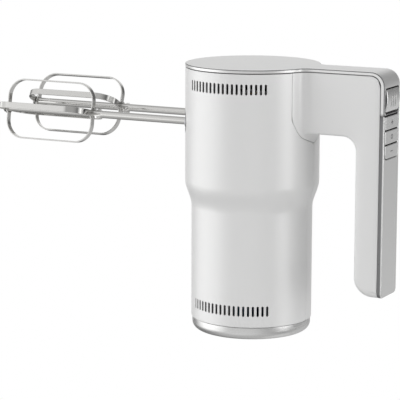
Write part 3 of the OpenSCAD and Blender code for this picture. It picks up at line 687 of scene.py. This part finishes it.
def root_rows(d, first):
    """Rows from the saddle seam on the body, over a soft blend, to the arm's first row."""
    radius = UPPER_R - d * WALL / SHELL_WALL
    middle = len(first) // 2
    lengths = running_length([Vector((p.y, p.z)) for p in first[:middle + 1]])
    shares = [x / lengths[-1] for x in lengths]
    seam = list(reversed(saddle_path()))
    beside = math.asin((GRIP_HALF + ROOT_FILLET) / (UPPER_R + ROOT_FILLET))
    side_inset = SADDLE_HALF - UPPER_R * math.sin(beside)
    least = 0.8

    def seam_inset(share):
        """Width between the seam and the blend's foot, at a share of the way down the seam."""
        upper = 1 - smooth_step((share - 0.45) / 0.3)
        lower = smooth_step((share - 0.85) / 0.15)
        return least + (side_inset - least) * upper + 0.7 * lower

    def on_body(y, z, r):
        return Vector((math.sqrt(max(0.0, r * r - y * y)), y, z))

    def seam_row(scale, extra, r):
        """The seam moved towards the arm, on a cylinder of radius r."""
        insets = [scale * seam_inset(s) + extra for s in shares]
        path = moved_left(along(seam, shares), [-x for x in insets])
        path[0].y = SHELL_TOP
        path[-1].x = 0.0
        left = [on_body(-p.x, p.y, r) for p in path]
        return left + [Vector((p.x, -p.y, p.z)) for p in reversed(left[:-1])]

    root = []
    edge = SEAM_EDGE if d == 0 else 0.0
    for k in range(4):
        tilt = math.pi / 2 * k / 3
        root.append(seam_row(0, edge * (1 - math.cos(tilt)), radius - edge * (1 - math.sin(tilt))))
    for share in (0.33, 0.66, 1):
        root.append(seam_row(share, edge * (1 - share), radius))
    foot = root[-1]
    for k in range(1, ROOT_STEPS):
        t = k / ROOT_STEPS
        row = []
        for a, b in zip(foot, first):
            angle = math.atan2(a.y, a.x)
            bend = Vector(((radius - b.y * math.sin(angle)) / math.cos(angle), b.y, b.z))
            row.append(a * (1 - t) ** 2 + bend * (2 * t * (1 - t)) + b * t ** 2)
        root.append(row)
    return root


def handle():
    """White moulding of the arm and the grip."""
    return shell(grip_rows(0.0), grip_rows(SHELL_WALL))


# ---------- cover and strip ----------

def cover():
    """Silver cover: flat over the body and the arm, then bent down over the back of the handle."""
    bend_u = GRIP_OUTER - COVER_BEND
    bend_len = COVER_BEND * math.pi / 2
    bend_z = BODY_H - COVER_BEND
    down_u = bend_u + bend_len
    end_u = down_u + bend_z - COVER_END

    def place(u, v, n):
        if u <= bend_u:
            return Vector((u, v, BODY_H - n))
        share = min(1.0, (u - bend_u) / bend_len)
        n *= 1 + (STRIP_T / COVER_T - 1) * smooth_step(share)
        a = share * math.pi / 2
        r = COVER_BEND - n
        down = max(0.0, u - down_u)
        return Vector((bend_u + r * math.sin(a), v, bend_z + r * math.cos(a) - down))

    fillet_y = GRIP_HALF + ROOT_FILLET
    fillet_x = math.sqrt((UPPER_R + ROOT_FILLET) ** 2 - fillet_y ** 2)
    root = math.atan2(fillet_y, fillet_x)

    def arc(x, y, r, start, turn, steps):
        angles = [start + turn * k / steps for k in range(steps + 1)]
        return [Vector((x + r * math.cos(a), y + r * math.sin(a))) for a in angles]

    fillet = arc(fillet_x, fillet_y, ROOT_FILLET, -math.pi / 2, root - math.pi / 2, 10)
    disc = arc(0, 0, UPPER_R, root, 2 * math.pi - 2 * root, 120)[1:-1]
    end = [Vector((end_u, -GRIP_HALF)), Vector((end_u, GRIP_HALF))]
    outline = end + fillet + disc + [Vector((p.x, -p.y)) for p in reversed(fillet)]
    top = down_u + bend_z - (button_high.z + BUTTON_GAP)
    low = end_u - WINDOW_SILL
    window = rectangle(top, -WINDOW_HALF, low, WINDOW_HALF, WINDOW_ROUND)
    return panel(outline, [window], place, depth=COVER_T, edge=0.5, step=(2.0, 2.2), under=0.5)


def strip():
    """Silver back of the handle with the notch for the keys."""
    low = KEY_TOP - 3 * KEY_PITCH
    top = COVER_END - SEAM
    outline = rounded([
        (-GRIP_HALF, GRIP_END, END_CORNER), (GRIP_HALF, GRIP_END, END_CORNER), (GRIP_HALF, top, 0),
        (WINDOW_HALF, top, 0), (WINDOW_HALF, low, NOTCH_ROUND), (-WINDOW_HALF, low, NOTCH_ROUND),
        (-WINDOW_HALF, top, 0), (-GRIP_HALF, top, 0)])
    return panel(outline, [], facing_back(GRIP_OUTER), depth=STRIP_T, edge=0.75, step=(2.0, 4.0),
                 under=0.5)


# ---------- controls ----------

def key_middle(index):
    """Height of the middle of a key, counted from the top."""
    return KEY_TOP - KEY_PITCH * (index + 0.5)


def key(index):
    """One key of the three, the last with the notch's round corners."""
    w, h = KEY_W / 2, (KEY_PITCH - KEY_GAP) / 2
    low = LAST_KEY_ROUND if index == 2 else KEY_ROUND
    outline = rounded([(-w, -h, low), (w, -h, low), (w, h, KEY_ROUND), (-w, h, KEY_ROUND)])
    place = facing_back(GRIP_OUTER + KEY_PROUD, key_middle(index))
    return panel(outline, [], place, depth=5.6, edge=0.45, step=(1.8, 1.8))


def key_mark(index):
    """Sign on a key: a plus, a ring or a minus."""
    size, thin = 1.7, 0.27
    holes = []
    if index == 0:
        outline = rounded([
            (-size, -thin, 0.1), (-thin, -thin, 0.1), (-thin, -size, 0.1), (thin, -size, 0.1),
            (thin, -thin, 0.1), (size, -thin, 0.1), (size, thin, 0.1), (thin, thin, 0.1),
            (thin, size, 0.1), (-thin, size, 0.1), (-thin, thin, 0.1), (-size, thin, 0.1)], 3)
    elif index == 1:
        turns = [2 * math.pi * k / 32 for k in range(32)]
        outline, hole = ([Vector((r * math.cos(a), r * math.sin(a))) for a in turns]
                         for r in (1.6, 1.1))
        holes = [hole]
    else:
        outline = rectangle(-size, -thin, size, thin, 0.2, 3)
    place = facing_back(GRIP_OUTER + KEY_PROUD + MARK_PROUD, key_middle(index))
    return panel(outline, holes, place, depth=0.5, edge=0.05, step=(0.6, 0.6))


def eject_button():
    """Crowned button with three raised lines."""
    top_x = cad_high.x / MM - 0.35

    def crown(z):
        return BUTTON_CROWN_R - math.sqrt(BUTTON_CROWN_R ** 2 - (z - BUTTON_CROWN_Z) ** 2)

    outline = rectangle(-BUTTON_HALF, BUTTON_LOW, BUTTON_HALF, BUTTON_HIGH, 1.4)
    part = panel(outline, [], facing_back(top_x, 0, crown), depth=6.5, edge=0.6, step=(1.0, 0.8))
    on_top = facing_back(top_x + RIB_PROUD, 0, crown)
    for y in (-RIB_PITCH, 0.0, RIB_PITCH):
        rib = [Vector((p.x + y, p.y + RIB_Z)) for p in slot_outline(RIB_W, RIB_H)]
        part.add(panel(rib, [], on_top, depth=0.7, edge=0.2, step=(0.5, 0.7)))
    return part


def eject_spring():
    """Coil spring round the eject rod, with its end turns drawn together."""
    low, high = box_mm("eject_spring")
    coil_r = (high.z - low.z) / 2 - SPRING_WIRE
    length = high.x - low.x - 2 * SPRING_WIRE
    axis = Vector((low.x + SPRING_WIRE, 0, (high.z + low.z) / 2))
    around, sides = 24, 10
    count = SPRING_TURNS * around
    part = Part()
    for i in range(count + 1):
        share = i / count
        drawn = share - 0.1 * math.sin(2 * math.pi * share)
        a = 2 * math.pi * i / around
        out = Vector((0, math.cos(a), math.sin(a)))
        middle = axis + Vector((length * drawn, 0, 0)) + out * coil_r
        for k in range(sides):
            b = 2 * math.pi * k / sides
            normal = out * math.cos(b) + Vector((math.sin(b), 0, 0))
            part.points.append(middle + normal * SPRING_WIRE)
            part.normals.append(normal)
    for i in range(count):
        for k in range(sides):
            a, m = i * sides, (k + 1) % sides
            part.faces.append([a + k, a + sides + k, a + sides + m, a + m])
    part.faces.append(list(range(sides)))
    part.faces.append([count * sides + k for k in reversed(range(sides))])
    return part


# ---------- heel ----------

def heel_cap():
    """Silver cap with a rounded rim, a lip inside the body and a recess for the pad."""
    lip_r = LOWER_R - WALL - SEAM
    lip_top = CAP_TOP + HEEL_LIP
    outline = rounded([
        (0, PAD_T, 0), (PAD_RECESS_R, PAD_T, 0.1), (PAD_RECESS_R, CAP_CLEAR, 0.3),
        (CAP_R, CAP_CLEAR, CAP_ROUND), (CAP_R, CAP_TOP, 0.35), (lip_r, CAP_TOP, 0),
        (lip_r, lip_top, 0.3), (HEEL_INNER_R, lip_top, 0.3), (HEEL_INNER_R, HEEL_FLOOR, 0),
        (0, HEEL_FLOOR, 0)], 12)
    return lathe(clean(outline))


def heel_pad():
    """Rubber pad with ring grooves underneath."""
    outline = [(0.0, PAD_T, 0), (0.0, 0.0, 0)]
    depth = 0.5
    for r in range(6, 30, 4):
        outline += [(r, 0, 0.1), (r + 0.2, depth, 0.1), (r + 1.4, depth, 0.1), (r + 1.6, 0, 0.1)]
    outline += [(PAD_R, 0, 0.4), (PAD_R, PAD_T, 0)]
    return lathe(rounded(outline, 3))


# ---------- beaters ----------

def on_stem(side, turn):
    """Matrix that puts a part made about the X axis onto a beater's shaft."""
    y = STEM_Y if side == "right" else -STEM_Y
    return Matrix.Translation((0, y, STEM_Z)) @ Matrix.Rotation(math.radians(-turn), 4, "X")


def beater_loop(side, turn, tip_inset, neck_inset):
    """Bent strip in the XZ plane with rounded edges, widened to an eye where the shaft passes."""
    half_t = WING_T / 2
    x0, x1 = TIP_X + tip_inset + half_t, NECK_X - neck_inset - half_t
    r = WING_R - half_t
    path = dense(clean(rectangle(x0, -r, x1, r, WING_CORNER - half_t, 14)), 1.2, closed=True)
    out = [a - b for a, b in zip(path, moved_left(path, 1.0, closed=True))]
    section = []
    for cx, cy, start in ((1, 1, 0), (-1, 1, 90), (-1, -1, 180), (1, -1, 270)):
        for k in range(4):
            a = math.radians(start + 30 * k)
            section.append((cx, cy, WING_EDGE * math.cos(a), WING_EDGE * math.sin(a)))
    part = Part()
    for p, o in zip(path, out):
        width = WING_W / 2
        if abs(p.y) < EYE_R:
            width = max(width, math.sqrt(EYE_R ** 2 - p.y ** 2))
        for cx, cy, ex, ey in section:
            n = cx * (half_t - WING_EDGE) + ex
            w = cy * (width - WING_EDGE) + ey
            part.points.append(Vector((p.x + o.x * n, w, p.y + o.y * n)))
            part.normals.append(Vector((o.x * ex, ey, o.y * ex)))
    m, count = len(section), len(path)
    for i in range(count):
        for k in range(m):
            a, b = i * m, (i + 1) % count * m
            part.faces.append([a + k, a + (k + 1) % m, b + (k + 1) % m, b + k])
    return part.turned(on_stem(side, turn))


def stem_profile():
    """Shaft as (x, radius), with its headed tip, close rings at the neck and the clip's groove."""
    groove, groove_end = 0.8, 1.0
    head = [(-HEAD_T, 0), (-HEAD_T, 2.7), (-0.66, 3.05), (-0.4, 3.2), (-0.1, 3.12), (0, 2.9),
            (0.05, STEM_R)]
    neck = (-60, -40, -20, -2, 0.4, 1.2, 2, 3, 4, 5, 6, 7, 9, 20, 40, 60)
    return ([(TIP_X + x, r) for x, r in head]
            + [(NECK_X + x, STEM_R) for x in neck]
            + [(GROOVE_X - groove_end, STEM_R), (GROOVE_X - groove, GROOVE_R),
               (GROOVE_X + groove, GROOVE_R), (GROOVE_X + groove_end, STEM_R)]
            + [(STEM_END_X - 0.6, STEM_R), (STEM_END_X, STEM_R - 0.5), (STEM_END_X, 0)])


def beater_stem(side, turn):
    """Shaft with ears pinched out of its neck, and two drive lugs cut as one plate."""
    profile = stem_profile()
    around = 40
    part = Part()
    rings = []
    for x, r in profile:
        rings.append(len(part.points))
        if r == 0:
            part.points.append(Vector((x, 0, 0)))
            continue
        pinch = (smooth_step((x - NECK_X - EAR_START) / EAR_RISE)
                 * smooth_step((NECK_X + EAR_END - x) / EAR_FALL))
        for k in range(around):
            a = 2 * math.pi * k / around
            b = a - EAR_TURN
            ear = pinch * (EAR_PROUD * abs(math.cos(b)) ** 14 - 0.25 * math.sin(b) ** 2)
            part.points.append(Vector((x, (r + ear) * math.cos(a), (r + ear) * math.sin(a))))
    for i in range(len(profile) - 1):
        for k in range(around):
            m = (k + 1) % around
            if profile[i][1] == 0:
                part.faces.append([rings[i], rings[i + 1] + m, rings[i + 1] + k])
            elif profile[i + 1][1] == 0:
                part.faces.append([rings[i] + k, rings[i] + m, rings[i + 1]])
            else:
                part.faces.append([rings[i] + k, rings[i] + m, rings[i + 1] + m, rings[i + 1] + k])
    lug = rectangle(LUG_LOW, -LUG_HALF, LUG_HIGH, LUG_HALF, 0.8, 4)
    base = len(part.points)
    for z in (-LUG_T / 2, LUG_T / 2):
        part.points += [Vector((p.x, p.y, z)) for p in lug]
    m = len(lug)
    part.faces.append([base + k for k in reversed(range(m))])
    part.faces.append([base + m + k for k in range(m)])
    for k in range(m):
        j = (k + 1) % m
        part.faces.append([base + k, base + j, base + m + j, base + m + k])
    return part.turned(on_stem(side, turn))


# ---------- materials ----------

def nodes_of(material):
    """Node tree of a material and its shader."""
    material.use_nodes = True
    tree = material.node_tree
    return tree, tree.nodes["Principled BSDF"]


def surface(name, colour, metallic=0.0, rough=0.5, spread=0.05, grain=(900, 900, 900), bump=0.02,
            tint=0.03, mottle=40, coat=0.0, specular=0.5, lines=None):
    """Procedural finish: a fine grain, a soft mottle of the colour, and roughness that varies.

    grain is the texture's scale on each axis, so that unequal numbers give brushed lines. spread is
    how far the roughness varies, tint how far the colour does, and mottle its scale. lines gives an
    axis and a scale for even grooves, which take the place of the grain's relief.
    """
    material = bpy.data.materials.new(name)
    tree, shader = nodes_of(material)
    add, link = tree.nodes.new, tree.links.new
    shader.inputs["Metallic"].default_value = metallic
    shader.inputs["Coat Weight"].default_value = coat
    shader.inputs["Specular IOR Level"].default_value = specular
    shader.inputs["Coat Roughness"].default_value = 0.12
    material.diffuse_color = (*colour, 1)

    place = add("ShaderNodeTexCoord")
    stretch = add("ShaderNodeMapping")
    stretch.inputs["Scale"].default_value = grain
    link(place.outputs["Object"], stretch.inputs["Vector"])
    fine = add("ShaderNodeTexNoise")
    fine.inputs["Scale"].default_value = 1.0
    fine.inputs["Detail"].default_value = 3.0
    link(stretch.outputs["Vector"], fine.inputs["Vector"])
    soft = add("ShaderNodeTexNoise")
    soft.inputs["Scale"].default_value = mottle
    soft.inputs["Detail"].default_value = 2.0
    link(place.outputs["Object"], soft.inputs["Vector"])

    ramp = add("ShaderNodeMapRange")
    ramp.inputs["To Min"].default_value = max(0.02, rough - spread)
    ramp.inputs["To Max"].default_value = min(1.0, rough + spread)
    ramp.inputs["From Min"].default_value = 0.3
    ramp.inputs["From Max"].default_value = 0.7
    link(fine.outputs["Fac"], ramp.inputs["Value"])
    link(ramp.outputs["Result"], shader.inputs["Roughness"])

    mix = add("ShaderNodeMix")
    mix.data_type = "RGBA"
    light = [min(1.0, c * (1 + tint)) for c in colour]
    dark = [c * (1 - tint) for c in colour]
    mix.inputs["A"].default_value = (*dark, 1)
    mix.inputs["B"].default_value = (*light, 1)
    link(soft.outputs["Fac"], mix.inputs["Factor"])
    link(mix.outputs["Result"], shader.inputs["Base Color"])

    height = fine.outputs["Fac"]
    if lines:
        wave = add("ShaderNodeTexWave")
        wave.bands_direction = lines[0]
        wave.inputs["Scale"].default_value = lines[1]
        link(place.outputs["Object"], wave.inputs["Vector"])
        height = wave.outputs["Fac"]
    relief = add("ShaderNodeBump")
    relief.inputs["Strength"].default_value = bump
    relief.inputs["Distance"].default_value = 0.0002
    link(height, relief.inputs["Height"])
    link(relief.outputs["Normal"], shader.inputs["Normal"])
    return material


MATERIALS = {
    "body_white": surface("satin_white", (0.79, 0.79, 0.787), metallic=0.20, rough=0.38,
                          spread=0.02, bump=0.008, tint=0.006),
    "silver": surface("brushed_silver", (0.66, 0.66, 0.655), metallic=0.9, rough=0.30, spread=0.06,
                      grain=(60, 60, 5000), bump=0.03, tint=0.02),
    "rubber": surface("black_rubber", (0.03, 0.03, 0.03), rough=0.8, grain=(2500,) * 3, bump=0.3),
    # Dark plastic of its slot, also used on the walls of the keys and the eject button as painted
    # shade in the gaps round them
    "dark_plastic": surface("dark_moulding_and_painted_shade", (0.04, 0.04, 0.043), rough=0.5,
                            grain=(3500,) * 3, bump=0.2),
    "beater_steel": surface("polished_strip", (0.64, 0.635, 0.62), metallic=1.0, rough=0.10,
                            spread=0.03, grain=(80, 4000, 4000), bump=0.015, tint=0.01),
    "steel": surface("zinc_steel", (0.55, 0.55, 0.56), metallic=1.0, rough=0.32,
                     grain=(2000, 2000, 200)),
    "spring_steel": surface("spring_wire", (0.42, 0.42, 0.44), metallic=1.0, rough=0.28),
    "screw_steel": surface("screw_steel", (0.52, 0.52, 0.50), metallic=1.0, rough=0.3),
    "frame_metal": surface("cast_metal", (0.60, 0.60, 0.61), metallic=1.0, rough=0.5,
                           grain=(1500,) * 3, bump=0.3),
    "bronze": surface("bronze", (0.72, 0.50, 0.24), metallic=1.0, rough=0.34, grain=(1800,) * 3),
    "copper": surface("wound_copper", (0.72, 0.33, 0.16), metallic=1.0, rough=0.3, bump=0.6,
                      lines=("X", 900)),
    "ferrite": surface("ferrite", (0.06, 0.06, 0.065), rough=0.7, grain=(2600,) * 3, bump=0.3),
    "gear_plastic": surface("acetal", (0.78, 0.76, 0.70), rough=0.42, grain=(1200,) * 3),
    "circuit_board": surface("solder_mask", (0.03, 0.16, 0.07), rough=0.35, bump=0.4,
                             lines=("Y", 500), coat=0.3),
    "cell_wrap": surface("shrink_wrap", (0.10, 0.24, 0.36), rough=0.3, coat=0.4),
    "wire_insulation": surface("wire_skin", (0.40, 0.03, 0.025), rough=0.45, grain=(700,) * 3),
}
BRUSHED_ALONG_X = surface("brushed_cover", (0.74, 0.74, 0.735), metallic=0.8, rough=0.38,
                          spread=0.03, grain=(60, 5000, 5000), bump=0.02, tint=0.015)
BRUSHED_ALONG_Z = surface("brushed_back", (0.80, 0.80, 0.795), metallic=0.9, rough=0.24,
                          spread=0.03, grain=(5000, 5000, 60), bump=0.004, tint=0.006)
# Painted shade: dark silver on the cover's rounded rim and on the walls and backs of the cover and
# strip, standing in for the shaded lines at their edges
PAINTED_SHADE_EDGE = surface("painted_shade_edge", (0.20, 0.20, 0.203), metallic=0.9, rough=0.3, spread=0.03,
                    bump=0.01)
# Painted shade: dark grey on the body halves' slot walls, seam edges and inner face, standing in
# for the shade inside the vents and seams
PAINTED_SHADE_INSIDE = surface("painted_shade_inside", (0.12, 0.12, 0.12), rough=0.7, grain=(1500,) * 3, bump=0.1)


def dress_nodes():
    """Give each CAD node the finish of its slot."""
    for row in frame["record"]["subparts"]:
        obj = frame["nodes"][row["node"]]
        obj.data.materials.clear()
        obj.data.materials.append(MATERIALS[row["material_slot"]])


# ---------- light, floor and camera ----------

# The camera's place in degrees and metres, and its lens in millimetres
AZIMUTH, ELEVATION, ROLL = 27.112, 10.325, 0.164
CAMERA_DISTANCE = 1.41442
TARGET = Vector((-0.0396, 0, 0.0852))
LENS, SENSOR = 185.27, 36.0

# Soft light zones: azimuth from the camera, elevation, cosine where it starts and is full, strength
SIDE_LIGHTS = [
    (-93, 14, 0.60, 0.95, 1.85),
    (66, 14, 0.84, 0.98, 3.25),
]
OTHER_LIGHTS = [
    (180, 8, 0.80, 0.97, 0.75),
    (-25, 0, 0.40, 0.90, 0.33),
    (126, -40, 0.70, 0.95, 0.45),
    (-10, -60, 0.30, 0.85, 0.40),
    (0, 90, 0.50, 0.90, 0.45),
]
FILL = 0.175
# Share of the side lights that is left in reflections of what is above the horizon, and the cosine
# from straight up where that share is reached
FLAGGED = 0.4
FLAG_FULL = 0.15

# Half width of the floor and radius of the backdrop in metres
STAGE_SIZE = 8.0
FLOOR_Z = -0.1 * MM


def direction(azimuth, elevation):
    """Unit vector towards a place round the object; azimuth 0 is -Y and 90 is +X."""
    a, e = math.radians(azimuth), math.radians(elevation)
    return Vector((math.sin(a) * math.cos(e), -math.cos(a) * math.cos(e), math.sin(e)))


def add_camera():
    """Camera at the view that the object is shown from."""
    data = bpy.data.cameras.new("camera")
    data.lens, data.sensor_width = LENS, SENSOR
    data.clip_start, data.clip_end = 0.05, 30.0
    camera = bpy.data.objects.new("camera", data)
    back = direction(AZIMUTH, ELEVATION)
    camera.location = TARGET + back * CAMERA_DISTANCE
    aimed = (-back).to_track_quat("-Z", "Y").to_matrix()
    camera.rotation_euler = (aimed @ Matrix.Rotation(math.radians(ROLL), 3, "Z")).to_euler()
    bpy.context.scene.collection.objects.link(camera)
    bpy.context.scene.camera = camera


def add_world():
    """World that glows in soft light zones."""
    world = bpy.data.worlds.new("studio")
    bpy.context.scene.world = world
    world.use_nodes = True
    tree = world.node_tree
    add, link = tree.nodes.new, tree.links.new
    place = add("ShaderNodeTexCoord")

    def worked_out(operation, a, b):
        """Output of a node that works out a and b, each a number or an output."""
        node = add("ShaderNodeMath")
        node.operation = operation
        for socket, value in zip(node.inputs, (a, b)):
            if isinstance(value, (int, float)):
                socket.default_value = value
            else:
                link(value, socket)
        return node.outputs["Value"]

    def ramp(value, start, full, strength):
        """Soft ramp from 0 where value is start to strength where it is full."""
        node = add("ShaderNodeMapRange")
        node.interpolation_type = "SMOOTHSTEP"
        node.inputs["From Min"].default_value = start
        node.inputs["From Max"].default_value = full
        node.inputs["To Max"].default_value = strength
        link(value, node.inputs["Value"])
        return node.outputs["Result"]

    def towards(way):
        """How far a ray heads that way, as a cosine."""
        dot = add("ShaderNodeVectorMath")
        dot.operation = "DOT_PRODUCT"
        dot.inputs[1].default_value = way
        link(place.outputs["Generated"], dot.inputs[0])
        return dot.outputs["Value"]

    def lit(total, lights):
        """The total with some light zones added."""
        for azimuth, elevation, start, full, strength in lights:
            zone = ramp(towards(direction(AZIMUTH + azimuth, elevation)), start, full, strength)
            total = worked_out("ADD", total, zone)
        return total

    glossy = add("ShaderNodeLightPath").outputs["Is Glossy Ray"]
    above = ramp(towards((0, 0, 1)), 0.0, FLAG_FULL, 1 - FLAGGED)
    left = worked_out("SUBTRACT", 1, worked_out("MULTIPLY", above, glossy))
    total = lit(worked_out("MULTIPLY", left, lit(0, SIDE_LIGHTS)), OTHER_LIGHTS)
    background = tree.nodes["Background"]
    background.inputs["Color"].default_value = (1, 1, 1, 1)
    link(worked_out("ADD", total, FILL), background.inputs["Strength"])


def square():
    """Corners and face of the floor."""
    size = STAGE_SIZE
    corners = [(-size, -size), (size, -size), (size, size), (-size, size)]
    return [(x, y, FLOOR_Z) for x, y in corners], [(0, 1, 2, 3)]


def ball(rings=16, around=48):
    """Points and faces of the backdrop, which closes round the whole stage."""
    points = [(0, 0, -STAGE_SIZE)]
    for i in range(1, rings):
        e = math.pi * i / rings - math.pi / 2
        r, z = STAGE_SIZE * math.cos(e), STAGE_SIZE * math.sin(e)
        for k in range(around):
            a = 2 * math.pi * k / around
            points.append((r * math.cos(a), r * math.sin(a), z))
    points.append((0, 0, STAGE_SIZE))
    faces = []
    last = 1 + (rings - 2) * around
    for k in range(around):
        m = (k + 1) % around
        faces.append((0, 1 + k, 1 + m))
        for a in range(1, last, around):
            b = a + around
            faces.append((a + k, b + k, b + m, a + m))
        faces.append((last + k, len(points) - 1, last + m))
    return points, faces


def add_stage():
    """White floor and backdrop for the camera alone, and a paper floor that only bounces light."""
    white = bpy.data.materials.new("white_card")
    shader = nodes_of(white)[1]
    shader.inputs["Base Color"].default_value = (0, 0, 0, 1)
    shader.inputs["Specular IOR Level"].default_value = 0.0
    shader.inputs["Emission Color"].default_value = (1, 1, 1, 1)
    shader.inputs["Emission Strength"].default_value = 1.0
    paper = bpy.data.materials.new("paper")
    shader = nodes_of(paper)[1]
    shader.inputs["Base Color"].default_value = (0.60, 0.60, 0.60, 1)
    shader.inputs["Roughness"].default_value = 0.9
    for name, form, material in (("floor", square, white), ("floor_bounce", square, paper),
                                 ("backdrop", ball, white)):
        points, faces = form()
        mesh = bpy.data.meshes.new(name)
        mesh.from_pydata(points, [], faces)
        mesh.materials.append(material)
        obj = bpy.data.objects.new(name, mesh)
        bpy.context.scene.collection.objects.link(obj)
        obj.visible_camera = material is white
        obj.visible_diffuse = material is paper
        obj.visible_glossy = False
        obj.visible_transmission = False
        obj.visible_shadow = False
        obj.visible_volume_scatter = False
    bpy.context.scene.view_settings.view_transform = "Standard"


# ---------- the object ----------

def build_housing():
    """Body halves, handle, silver trim and heel."""
    for side, name in ((-1, "left"), (1, "right")):
        # The shells' walls and inner face get the painted shade
        make("shell_" + name, body_half(side), "root", MATERIALS["body_white"],
             ["body_" + name], second=PAINTED_SHADE_INSIDE)
    make("grip", handle(), "root", MATERIALS["body_white"], ["handle_shell"],
         sharp=40)
    # The cover's rim and the strip's walls and back get painted shade
    make("cover", cover(), "root", BRUSHED_ALONG_X, ["top_cover"],
         second=PAINTED_SHADE_EDGE, zones=("bevel", "back"))
    make("strip", strip(), "root", BRUSHED_ALONG_Z, ["back_strip"], second=PAINTED_SHADE_EDGE)
    make("heel", heel_cap(), "root", MATERIALS["silver"], ["base_cap"], sharp=40)
    make("foot_pad", heel_pad(), "root", MATERIALS["rubber"], ["base_pad"], sharp=40)


def build_controls():
    """Eject button with its spring, and the three keys with their signs."""
    dark = MATERIALS["dark_plastic"]
    # dark is the signs' own dark print, and painted shade on the walls of the button, its lines and
    # the keys, for the gaps round them
    make("button", eject_button(), "eject", BRUSHED_ALONG_Z, ["eject_button"],
         second=dark)
    seat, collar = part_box("eject_spring")
    stretch = ("root", "eject", (seat.x, 0, seat.z), (collar.x, 0, seat.z))
    make("return_spring", eject_spring(), stretch, MATERIALS["spring_steel"],
         ["eject_spring"])
    for index, name in enumerate(("plus", "power", "minus")):
        node = "key_" + name
        make("key_cap_" + name, key(index), node, BRUSHED_ALONG_Z, [node], second=dark)
        make("key_mark_" + name, key_mark(index), node, dark)


def build_beaters():
    """Each beater's shaft, its level outer loop and the upright loop nested in it."""
    slot = "beater_steel"
    for side, (upright, level, lugs) in TURNS.items():
        body = "beater_" + side
        outer = beater_loop(side, level - 90, WING_T, 0.0)
        inner = beater_loop(side, upright, 2 * WING_T, WING_T)
        for name, part in (("outer", outer), ("inner", inner)):
            make(f"wing_{side}_{name}", part, body, MATERIALS[slot],
                 [f"beater_loop_{side}_{name}"])
        make("shaft_" + side, beater_stem(side, lugs), body, MATERIALS[slot],
             ["beater_stem_" + side], sharp=50)


dress_nodes()
build_housing()
build_controls()
build_beaters()
add_world()
add_stage()
add_camera()
